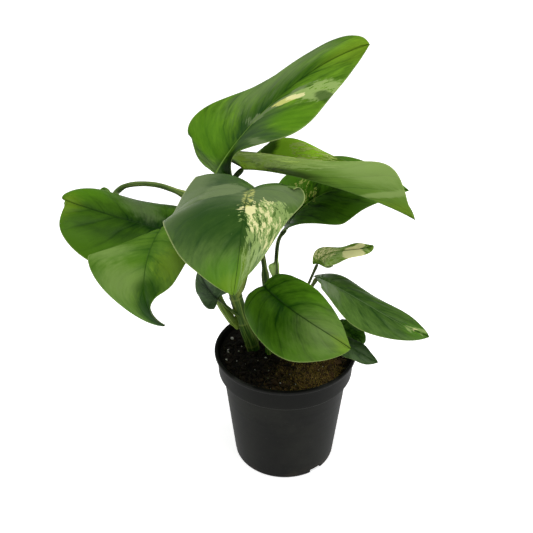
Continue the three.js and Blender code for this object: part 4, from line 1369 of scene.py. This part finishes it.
LEAVES = [
    LeafBlade(
        "leaf_01_top", ((-55, 12, 263), (-44, 8, 287), (5, 40, 339), (56, 13, 361)), (48, 54),
        face=((-60, 61), (-65, 39)), rise=((33, -8), (23, -7)), turn=((15, -34), (5, -64)),
        wave=(5.5, 1.45, -0.04), shape=(0.63, 0.88), lobes=(1.8, 0.67), curl=(-100, 0),
        finish=LeafFinish(
            paint(28, 66, 10), paint(102, 144, 34), 1.7, banding=0.35, outward=0.15, cloudy=1.6,
            # The underside is painted near black, as shade on the curled basal lobe.
            under=paint(20, 44, 10), sheen=0.0, wax=0.08,
        ),
        patches=(
            # The FOREST and SHADE patches at the base of the right half are painted shade on the curled basal
            # lobe. The SLATE washes on the right half and the SAGE wash at 0.68 on the left half are partly
            # grey-green tone and partly painted sheen.
            haze(FOREST, 0.24, 0.5, 0.22, 0.6, 0.95, 0.15), blur(SHADE, 0.36, 0.6, 0.11, 0.7, 0.8, 0.2),
            wash(SLATE, 0.58, 0.22, 0.1, 0.36, 0.7, 0.5), wash(SAGE, 0.17, -0.4, 0.12, 0.5, 0.4),
            blur(LEAFY, 0.38, -0.5, 0.1, 0.5, 0.6), blur(SLATE, 0.51, 0.6, 0.06, 0.5, 0.7),
            wash(LEAFY, 0.62, 0.75, 0.05, 0.3, 0.6), wash(FOREST, 0.7, -0.12, 0.24, 0.25, 0.6, 0.3),
            wash(SAGE, 0.68, -0.65, 0.16, 0.4, 0.6), wash(LIME, 0.98, 0.0, 0.1, 1.2, 0.5, 0.3),
            Patch(SAGE, 0.68, 0.18, 0.045, 0.28, 0.85, 0.7, slant=0.35, soft=0.15),
            Patch(PALE, 0.755, 0.72, 0.05, 0.4, 0.85, 0.8, 0.85, 0.08, 0.2),
            haze(FOREST, 0.735, 0.93, 0.02, 0.2, 0.7),
            Patch(BUTTER, 0.694, 0.32, 0.018, 0.17, 0.9, 0.9, slant=0.09),
            Patch(CREAM, 0.712, 0.43, 0.014, 0.13, 0.8, 0.9, slant=0.05),
            Patch(SAGE, 0.5, 0.8, 0.014, 0.25, 0.6, 0.9, soft=0.4),
        ),
    ),
    LeafBlade(
        "leaf_02_upper_right", ((-35, 52, 250), (-1.5, 5, 272), (74.5, 26, 235), (98.5, -1, 230)), (49.5, 40),
        face=((22, 71), (2, 110)), rise=((50, 56), (26, 24)), turn=((-19, 4), (-14, -22)),
        wave=(-3.4, 1.69, -0.51), shape=(0.57, 1.37), lobes=(0.29, 0.29),
        finish=LeafFinish(
            paint(40, 78, 6), paint(104, 142, 32), 8.2, under=paint(122, 160, 66), rib_end=0.0,
            rib_tip=paint(80, 112, 44), sheen=0.0, wax=0.08, grain=0.8,
        ),
        patches=(
            # The SHADE haze at the base of the right half is painted shade where the dark lobe of leaf 1 hangs
            # over it.
            wash(LIME, 0.16, 0.1, 0.24, 0.35, 0.7, 0.3), haze(SHADE, 0.16, 0.85, 0.14, 0.4, 0.9, 0.2),
            wash(PALE, 0.64, 0.85, 0.14, 0.4, 0.6), haze(LIME, 0.37, 0.6, 0.06, 0.5, 0.7, 0.5),
            Patch(PALE, 0.44, 0.7, 0.1, 0.5, 0.8, 0.7, 0.8), Patch(MINT, 0.41, 0.7, 0.06, 0.5, 0.8, 0.9, 0.3),
            wash(LIME, 0.4, 0.6, 0.1, 0.6, 0.4, 0.5), Patch(FOREST, 0.4, 0.3, 0.08, 0.35, 0.5, 0.6, 0.4),
            # The SHADE wash along the midrib is painted shade in the fold.
            wash(SHADE, 0.49, 0.05, 0.14, 0.17, 0.75, 0.4), haze(PALE, 0.79, 0.5, 0.02, 0.6, 0.75, 0.4),
            # The GLOW haze on the left half is a painted glow of light through the blade.
            blur(LIME, 0.93, 0.4, 0.08, 0.8, 0.45, 0.3), haze(GLOW, 0.42, -0.7, 0.1, 0.6, 0.95, 0.3),
            Patch(FOREST, 0.345, -0.7, 0.025, 0.4, 0.9, 0.3, soft=0.4),
            Patch(LIME, 0.49, -0.75, 0.06, 0.4, 0.6, 0.8, 0.6),
            Patch(MINT, 0.48, -0.8, 0.07, 0.35, 0.85, 0.9, 0.45),
        ),
    ),
    LeafBlade(
        "leaf_03_rear_right", ((0, 37, 202), (14, 46, 225), (40, 47, 248), (108, 83, 215)), (36, 39),
        face=((-26, 118), (8, 53)), rise=((1, -1), (18, 16)), turn=((-15, -22), (4, 4)),
        wave=(4.4, 1.65, -0.05), shape=(0.92, 1.02), lobes=(0.01, 0.01),
        finish=LeafFinish(paint(16, 44, 2), paint(76, 118, 26), 13.1, veins=8.0, tipward=0.8, sheen=0.05),
        patches=(
            Patch(LEAFY, 0.54, -0.6, 0.1, 0.6, 0.8, 0.5, 0.9, soft=0.2),
            Patch(BUTTER, 0.56, -0.3, 0.07, 0.4, 0.8, 0.7, 0.3),
        ),
    ),
    LeafBlade(
        "leaf_04_front_centre", ((-24, -61, 285), (-32, -72, 292), (-29, -130, 291), (-35, -160, 264)),
        (61, 35),
        face=((-45, 41), (17, 40)), rise=((42, -24), (1, -59)), turn=((-43, -48), (-21, -93)),
        wave=(5.8, 1.42, 0.6), shape=(1.27, 0.69), lobes=(1.1, 1.1),
        finish=LeafFinish(
            # The stronger pale margin is partly a painted highlight along the lit edge.
            paint(36, 68, 20), paint(94, 124, 54), 21.4, rim=0.5, outward=0.1, cloudy=1.2,
            rib=paint(120, 142, 82), rib_end=0.3, rib_tip=paint(36, 66, 16), sheen=0.08, grain=0.8,
        ),
        patches=(
            # The SLATE and SAGE patches on the right half are partly grey-green marbling and partly painted
            # sheen.
            Patch(SLATE, 0.45, 0.5, 0.24, 0.7, 0.75, 0.3, soft=0.4),
            Patch(SAGE, 0.47, 0.88, 0.2, 0.36, 0.8, 0.3, soft=0.4),
            wash(FOREST, 0.72, 0.3, 0.1, 0.7, 0.75, 0.3),
            Patch(SAGE, 0.41, 0.31, 0.13, 0.25, 0.9, 0.4, slant=0.18, soft=0.1),
            wash(LEAFY, 0.95, 0.4, 0.08, 0.9, 0.7, 0.3), wash(LIME, 0.99, 0.3, 0.05, 0.9, 0.4, 0.5),
            haze(SAGE, 0.5, -0.45, 0.1, 0.6, 0.6, 0.3), wash(FOREST, 0.82, -0.25, 0.05, 0.4, 0.5, 0.3),
            wash(LIME, 0.89, -0.65, 0.08, 0.5, 0.5, 0.3), Patch(PALE, 0.7, -0.6, 0.11, 0.6, 0.8, 0.8, 0.75),
            Patch(PALE, 0.83, -0.55, 0.08, 0.4, 0.6, 0.9, 0.5),
            Patch(CREAM, 0.65, -0.28, 0.08, 0.3, 0.85, 0.85, 0.4),
            Patch(CREAM, 0.7, -0.55, 0.055, 0.5, 0.85, 0.9, 0.4),
            Patch(BUTTER, 0.5, -0.05, 0.12, 0.08, 0.65, 0.7, 0.7, soft=0.2),
            Patch(CREAM, 0.645, -0.12, 0.028, 0.1, 0.95, 0.4),
        ),
    ),
    LeafBlade(
        "leaf_05_far_left", ((-78, -2, 217), (-119, 14, 218), (-177, 34, 229), (-178, 29, 233)), (37, 44),
        face=((1, 68), (3, 67)), rise=((0, -5), (5, 2)), turn=((-32, -43), (-24, -26)),
        wave=(2.6, 1.55, 0.09), shape=(0.89, 0.87), lobes=(1, 1),
        finish=LeafFinish(
            paint(12, 44, 1), paint(66, 104, 16), 29.9, banding=0.12, outward=0.5, tipward=0.7,
            rib=paint(24, 52, 8), rib_end=0.0, sheen=0.05, grain=0.4,
        ),
        patches=(
            wash(SAGE, 0.56, 0.55, 0.08, 0.4, 0.4, 0.7, slant=0.2), wash(LEAFY, 0.8, 0.8, 0.12, 0.4, 0.55),
            wash(LIME, 0.92, -0.3, 0.09, 1.0, 0.45, 0.3),
        ),
    ),
    LeafBlade(
        "leaf_06_lower_left", ((-94, -27, 236), (-98, -73, 247), (-114, -69, 195), (-86, -93, 196)), (55, 35),
        face=((-14, 35), (-28, -26)), rise=((-5, -11), (15, 16)), turn=((-10, -17), (-7, 1)),
        wave=(3.2, 1.76, 0.42), shape=(0.91, 1.13), lobes=(0.92, 0.92),
        finish=LeafFinish(
            paint(42, 80, 14), paint(96, 132, 42), 34.6, veins=7.0, outward=0.1, cloudy=1.0,
            rib=paint(50, 84, 22), rib_end=0.9, sheen=0.0, wax=0.08, grain=0.5,
        ),
        patches=(
            # The soft PALE spots are partly pale mottling and partly painted sheen.
            wash(LEAFY, 0.6, 0.45, 0.12, 0.6, 0.35), Patch(PALE, 0.67, 0.42, 0.07, 0.45, 0.4, 0.5, soft=0.8),
            Patch(PALE, 0.5, 0.7, 0.07, 0.35, 0.4, 0.5, soft=0.8),
            wash(LIME, 0.57, -0.75, 0.07, 0.5, 0.4, 0.9), blur(FOREST, 0.74, -0.3, 0.06, 0.5, 0.7, 0.3),
            # The FOREST and SHADE patches at the tip are painted shade on the down-turned tip.
            Patch(FOREST, 0.91, 0.0, 0.13, 1.5, 0.95, 0.3, soft=0.4),
            blur(SHADE, 0.96, 0.0, 0.1, 1.5, 0.5, 0.3),
        ),
    ),
    LeafBlade(
        "leaf_07_front_lower", ((-18, -23, 184), (-2, -58, 185), (30, -82, 181), (45, -80, 166)), (35, 31),
        face=((-3, 53), (30, 51)), rise=((-11, 0), (-3, -16)), turn=((-53, -19), (-19, -43)),
        wave=(1.8, 1.46, -0.13), shape=(0.86, 1), lobes=(1.25, 1.25),
        finish=LeafFinish(
            paint(20, 56, 2), paint(74, 116, 22), 42.3, veins=7.0, banding=0.3, outward=0.4, grain=0.55,
            rim=0.35, rib=paint(16, 42, 3), rib_end=0.0, rib_tip=paint(16, 42, 3), sheen=0.0, wax=0.08,
        ),
        patches=(
            Patch(PALE, 0.84, -0.1, 0.18, 1.1, 0.35, 0.4, soft=0.8),
            blur(LIME, 0.97, 0.0, 0.1, 1.3, 0.45, 0.3),
        ),
    ),
    LeafBlade(
        "leaf_08_lower_right", ((24, -5, 180), (34, -4, 180), (84, -23, 149), (110, -43, 150)), (29, 22),
        face=((12, 97), (21, 56)), rise=((20, 4), (-12, 0)), turn=((-8, -30), (-10, -33)),
        wave=(-2.7, 1.54, 0.34), shape=(0.94, 0.84), lobes=(0.21, 0.05), rows=110, columns=24,
        finish=LeafFinish(
            paint(34, 66, 16), paint(82, 114, 44), 51.8, banding=0.1, outward=0.3, sheen=0.08,
            rib=paint(84, 110, 62), rib_tip=paint(84, 112, 58),
        ),
        patches=(
            blur(SAGE, 0.44, 0.5, 0.1, 0.45, 0.6, 0.4), wash(LEAFY, 0.93, 0.0, 0.06, 1.0, 0.6),
            haze(PALE, 0.925, -0.5, 0.022, 0.55, 0.8, 0.6, slant=-0.03),
            haze(PALE, 0.895, 0.1, 0.014, 0.3, 0.75, 0.7),
            Patch(CREAM, 0.92, -0.1, 0.007, 0.35, 0.8, 0.7, soft=0.2),
            Patch(PALE, 0.955, 0.2, 0.007, 0.5, 0.75, 0.5, soft=0.2),
        ),
    ),
    LeafBlade(
        "leaf_09_small_marbled", ((25, 6, 187), (31, 18, 196), (58, -8, 205), (67, -5, 210)), (17, 6),
        face=((9, 72), (8, 62)), rise=((23, 13), (33, 16)), turn=((-4, -1), (0, 0)), wave=(3.4, 1.56, 0.05),
        shape=(1.02, 0.73), lobes=(0.68, 0.68), rows=72, columns=16,
        finish=LeafFinish(paint(52, 88, 14), paint(120, 150, 50), 60.2, veins=6.0),
        patches=(
            Patch(PALE, 0.5, 0.1, 0.25, 1.2, 0.85, 0.6, 0.7),
            Patch(CREAM, 0.46, -0.3, 0.16, 0.9, 0.9, 0.7, 0.5),
            Patch(CREAM, 0.77, 0.3, 0.09, 0.9, 1.0, 0.3, slant=0.02),
            Patch(CREAM, 0.8, -0.5, 0.06, 0.5, 0.95, 0.5, 0.9), Patch(PALE, 0.89, 0.2, 0.02, 0.8, 0.8, 0.4),
        ),
    ),
    LeafBlade(
        "leaf_10_small_inner", ((42, -9, 140), (46, -16, 137), (65, -24, 132), (59, -24, 131)), (12, 11),
        face=((26, 48), (23, 47)), rise=((6, 6), (1, 4)), turn=((-19, -19), (-25, -22)),
        wave=(2.3, 1.59, 0.12), shape=(0.99, 0.98), lobes=(1, 1), rows=56, columns=14,
        finish=LeafFinish(
            paint(20, 58, 4), paint(84, 122, 44), 66.1, veins=5.0, rib=paint(40, 72, 26), rim=0.1,
        ),
    ),
    LeafBlade(
        "leaf_11_small_low", ((45, -30, 135), (50, -35, 138), (64, -43, 128), (71, -49, 130)), (10, 8),
        face=((12, 57), (11, 55)), rise=((7, 4), (3, 3)), turn=((-18, -20), (-22, -23)),
        wave=(1.9, 1.68, 0.38), shape=(0.97, 0.95), lobes=(1, 1), rows=56, columns=14,
        finish=LeafFinish(
            paint(26, 50, 16), paint(66, 90, 48), 70.5, veins=5.0, rib=paint(50, 76, 36), rim=0.15,
        ),
    ),
    LeafBlade(
        "leaf_12_small_left", ((-55, -17, 169), (-57, -20, 172), (-65, -25, 187), (-67, -28, 203)), (12, 11),
        face=((-19, 36), (-16, 37)), rise=((10, 10), (14, 11)), turn=((-10, -10), (-6, -10)),
        wave=(2.7, 1.64, 0.14), shape=(1.03, 0.99), lobes=(1, 1), rows=56, columns=14,
        finish=LeafFinish(
            paint(16, 38, 10), paint(62, 86, 48), 77.7, veins=5.0, rib=paint(12, 30, 6), rib_end=0.0,
            rib_tip=paint(12, 30, 6), rim=0.2, outward=0.6, tipward=0.6,
        ),
    ),
    LeafBlade(
        "leaf_13_small_hidden", ((-145, 61, 221), (-148, 64, 216), (-150, 67, 202), (-151, 66, 189)),
        (13, 13),
        face=((-10, 25), (-10, 20)), rise=((12, 10), (12, 10)), turn=((-10, -10), (-10, -10)),
        wave=(1, 1.5, 0), shape=(1, 1), lobes=(1, 1), rows=56, columns=14,
        finish=LeafFinish(paint(32, 70, 8), paint(92, 128, 40), 83.3, veins=5.0, banding=0.5),
    ),
]

SAPPY = StalkFinish(paint(92, 118, 34), paint(54, 86, 20), 2.0)
SHADED = StalkFinish(paint(48, 78, 14), paint(22, 44, 4), 5.0)
# The wing's edge colour is lightened past its own pale green, as painted light against the shade of leaf 4
# above it.
WINGED = replace(SHADED, edge=paint(206, 240, 140))
BRIGHT = StalkFinish(paint(60, 116, 8), paint(34, 66, 8), 8.0)
ARCHED = StalkFinish(paint(70, 98, 32), paint(82, 108, 46), 11.0)

STEMS = [
    Stalk(
        "stem_main", ((-25, 3, 84), (-28, 3, 108), (-36, 1, 138), (-43, 0, 168), (-46, -1, 182)), (6, 5),
        StalkFinish(paint(40, 78, 8), paint(66, 96, 24), 14.0), rings=4.0, groove=0.22, knee=0.0, sides=32,
    ),
    Stalk(
        "stem_rear", ((-6, 8, 84), (-7, 9, 108), (-8, 12, 128), (-8, 14, 140)), (5.2, 4.4),
        StalkFinish(paint(48, 80, 14), paint(48, 78, 14), 17.0), rings=3.0, groove=0.2, knee=0.0, sides=32,
    ),
]

# The stalks end at the base of the leaf with the same number, which is added to their route
STALKS = [
    Stalk("stalk_01_top", ((-46, -1, 179), (-49, 6, 205), (-55, 13, 238)), (2.6, 1.8), SAPPY, 0.35),
    Stalk(
        "stalk_02_upper_right",
        ((-11, 12, 134), (-16, 14, 160), (-20, 19, 190), (-35, 35, 221), (-44, 47, 239)), (2.3, 1.8), SHADED,
        0.3,
    ),
    Stalk(
        "stalk_03_rear_right", ((-6, 17, 134), (-7.5, 23, 160), (-7.5, 29, 184), (-5.5, 33, 195)), (2, 1.6),
        WINGED, 0.58, wing=2.4,
    ),
    Stalk(
        "stalk_04_front_centre", ((-40, -2, 160), (-34, -8, 185), (-31, -25, 222), (-27, -48, 256)),
        (2.6, 1.8), SAPPY, 0.35,
    ),
    Stalk("stalk_05_far_left", ((-45, 1, 163), (-55, 3, 186), (-66, 3, 205)), (2.4, 1.8), SAPPY, 0.35),
    Stalk(
        "stalk_06_lower_left", ((-40, -1, 129), (-52, -5, 154), (-59, -10, 178), (-74, -22, 212)), (2.6, 1.8),
        SAPPY, 0.42,
    ),
    Stalk(
        "stalk_07_front_lower", ((-14, -3, 88), (-14, -3, 108), (-15, -6, 140), (-17, -13, 168)), (2.4, 1.6),
        BRIGHT, 0.4,
    ),
    Stalk("stalk_08_lower_right", ((-4, 10, 122), (6, 5, 138), (15, 0, 158)), (1.9, 1.4), SHADED, 0.3),
    Stalk(
        "stalk_09_small_marbled", ((4, 18, 88), (6, 16, 112), (13, 10, 146), (19, 7, 169)), (1.6, 1), SHADED,
        0.4,
    ),
    Stalk("stalk_10_small_inner", ((18, 8, 88), (19, 7, 106), (28, 2, 124)), (1.5, 1.1), SHADED, 0.45),
    Stalk("stalk_11_small_low", ((16, -8, 88), (17, -9, 106), (30, -20, 124)), (1.5, 1.1), SHADED, 0.45),
    Stalk("stalk_12_small_left", ((-38, -3, 142), (-46, -8, 153)), (1.3, 1), SHADED, 0.3),
    Stalk(
        "stalk_13_arched",
        ((-39, 5, 148), (-44, 14, 180), (-53, 20, 207), (-65, 26, 229), (-82, 30, 237), (-107, 44, 239),
         (-133, 56, 232)),
        (3, 1.9), ARCHED, 0.6,
    ),
]


@dataclass
class Plant:
    """The whole plant, in which a leaf and its stalk have the same number in their names."""

    stems: list[Stalk]
    stalks: list[Stalk]
    leaves: list[LeafBlade]

    def build(self) -> None:
        """Makes the stems, the stalks, each led on to the base of its own leaf, and the leaves."""
        bases = {leaf.name.split("_")[1]: leaf.midrib[0] for leaf in self.leaves}
        grown = [replace(stalk, route=(*stalk.route, bases[stalk.name.split("_")[1]])) for stalk in self.stalks]
        sweep, relief = SweptStalk(), BladeRelief()
        for stalk in [*self.stems, *grown]:
            stalk.build(sweep)
        for leaf in self.leaves:
            leaf.build(relief)


@dataclass
class Studio:
    """The floor, the light and the camera, in metres and degrees.

    Each softbox is given by its name, its place, its side and its power in watts, and looks at the target.
    """

    floor_size: float = 40.0
    floor_glow: float = 0.7
    floor_greys: Pair = (0.9, 0.94)
    air_glow: float = 0.28
    softboxes: tuple[tuple[str, Point, float, float], ...] = (
        ("softbox_left", (-1.3, 0.3, 1.2), 1.1, 6.0),
        ("softbox_right", (1.4, -0.1, 1.0), 1.0, 4.0),
        ("softbox_top", (0.1, -0.3, 1.9), 1.2, 23.0),
    )
    target: Point = (0, 0, 0.18)
    lens: float = 54.03
    eye: Point = (-0.016, -0.547, 0.514)
    tilt: float = 59.2

    def place(self, name: str, data: bpy.types.ID, spot: Point = (0, 0, 0)) -> bpy.types.Object:
        """Puts a new object in the scene.

        Args:
            name: Its name.
            data: Its mesh, light or camera.
            spot: Where it stands or hangs.

        Returns:
            The object.
        """
        thing = bpy.data.objects.new(name, data)
        thing.location = spot
        bpy.context.scene.collection.objects.link(thing)
        return thing

    def floor(self) -> None:
        """Lays the plain pale floor."""
        half = self.floor_size / 2
        corners = [(-half, -half, 0), (half, -half, 0), (half, half, 0), (-half, half, 0)]
        mesh = bpy.data.meshes.new("studio_floor")
        mesh.from_pydata(corners, [], [(0, 1, 2, 3)])
        skin = Skin("studio_floor")
        dull, pale = ((grey, grey, grey, 1.0) for grey in self.floor_greys)
        surface = {
            "Base Color": skin.blend(skin.noise(skin.place(), 3.0, 2.0), dull, pale), "Roughness": 0.9,
            "Specular IOR Level": 0.1, "Emission Color": WHITE, "Emission Strength": self.floor_glow,
        }
        mesh.materials.append(skin.close(surface))
        self.place("studio_floor", mesh)

    def softbox(self, name: str, spot: Point, size: float, power: float) -> None:
        """Hangs a square soft light that looks at the plant.

        Args:
            name: The light's name.
            spot: Where it hangs.
            size: Its side, in metres.
            power: Its power, in watts.
        """
        light = bpy.data.lights.new(name, "AREA")
        light.size, light.energy = size, power
        away = Vector(self.target) - Vector(spot)
        self.place(name, light, spot).rotation_euler = away.to_track_quat("-Z", "Y").to_euler()

    def build(self) -> None:
        """Sets up the floor, the lights, the world and the camera."""
        self.floor()
        for softbox in self.softboxes:
            self.softbox(*softbox)
        scene = bpy.context.scene
        world = bpy.data.worlds.new("studio_air")
        world.use_nodes = True
        sky = world.node_tree.nodes["Background"]
        sky.inputs["Color"].default_value = WHITE
        sky.inputs["Strength"].default_value = self.air_glow
        scene.world = world
        scene.view_settings.view_transform = "Standard"
        data = bpy.data.cameras.new("studio_camera")
        data.lens = self.lens
        scene.camera = self.place("studio_camera", data, self.eye)
        scene.camera.rotation_euler = (math.radians(self.tilt), 0.0, 0.0)


def main() -> None:
    """Builds the studio, the pot, the soil and the plant."""
    logging.basicConfig(level=logging.INFO, format="%(message)s")
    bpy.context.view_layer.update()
    Studio().build()
    pot = NurseryPot()
    pot.build()
    PottingSoil(pot).build()
    Plant(STEMS, STALKS, LEAVES).build()
    bpy.context.view_layer.update()


if __name__ == "__main__":
    main()
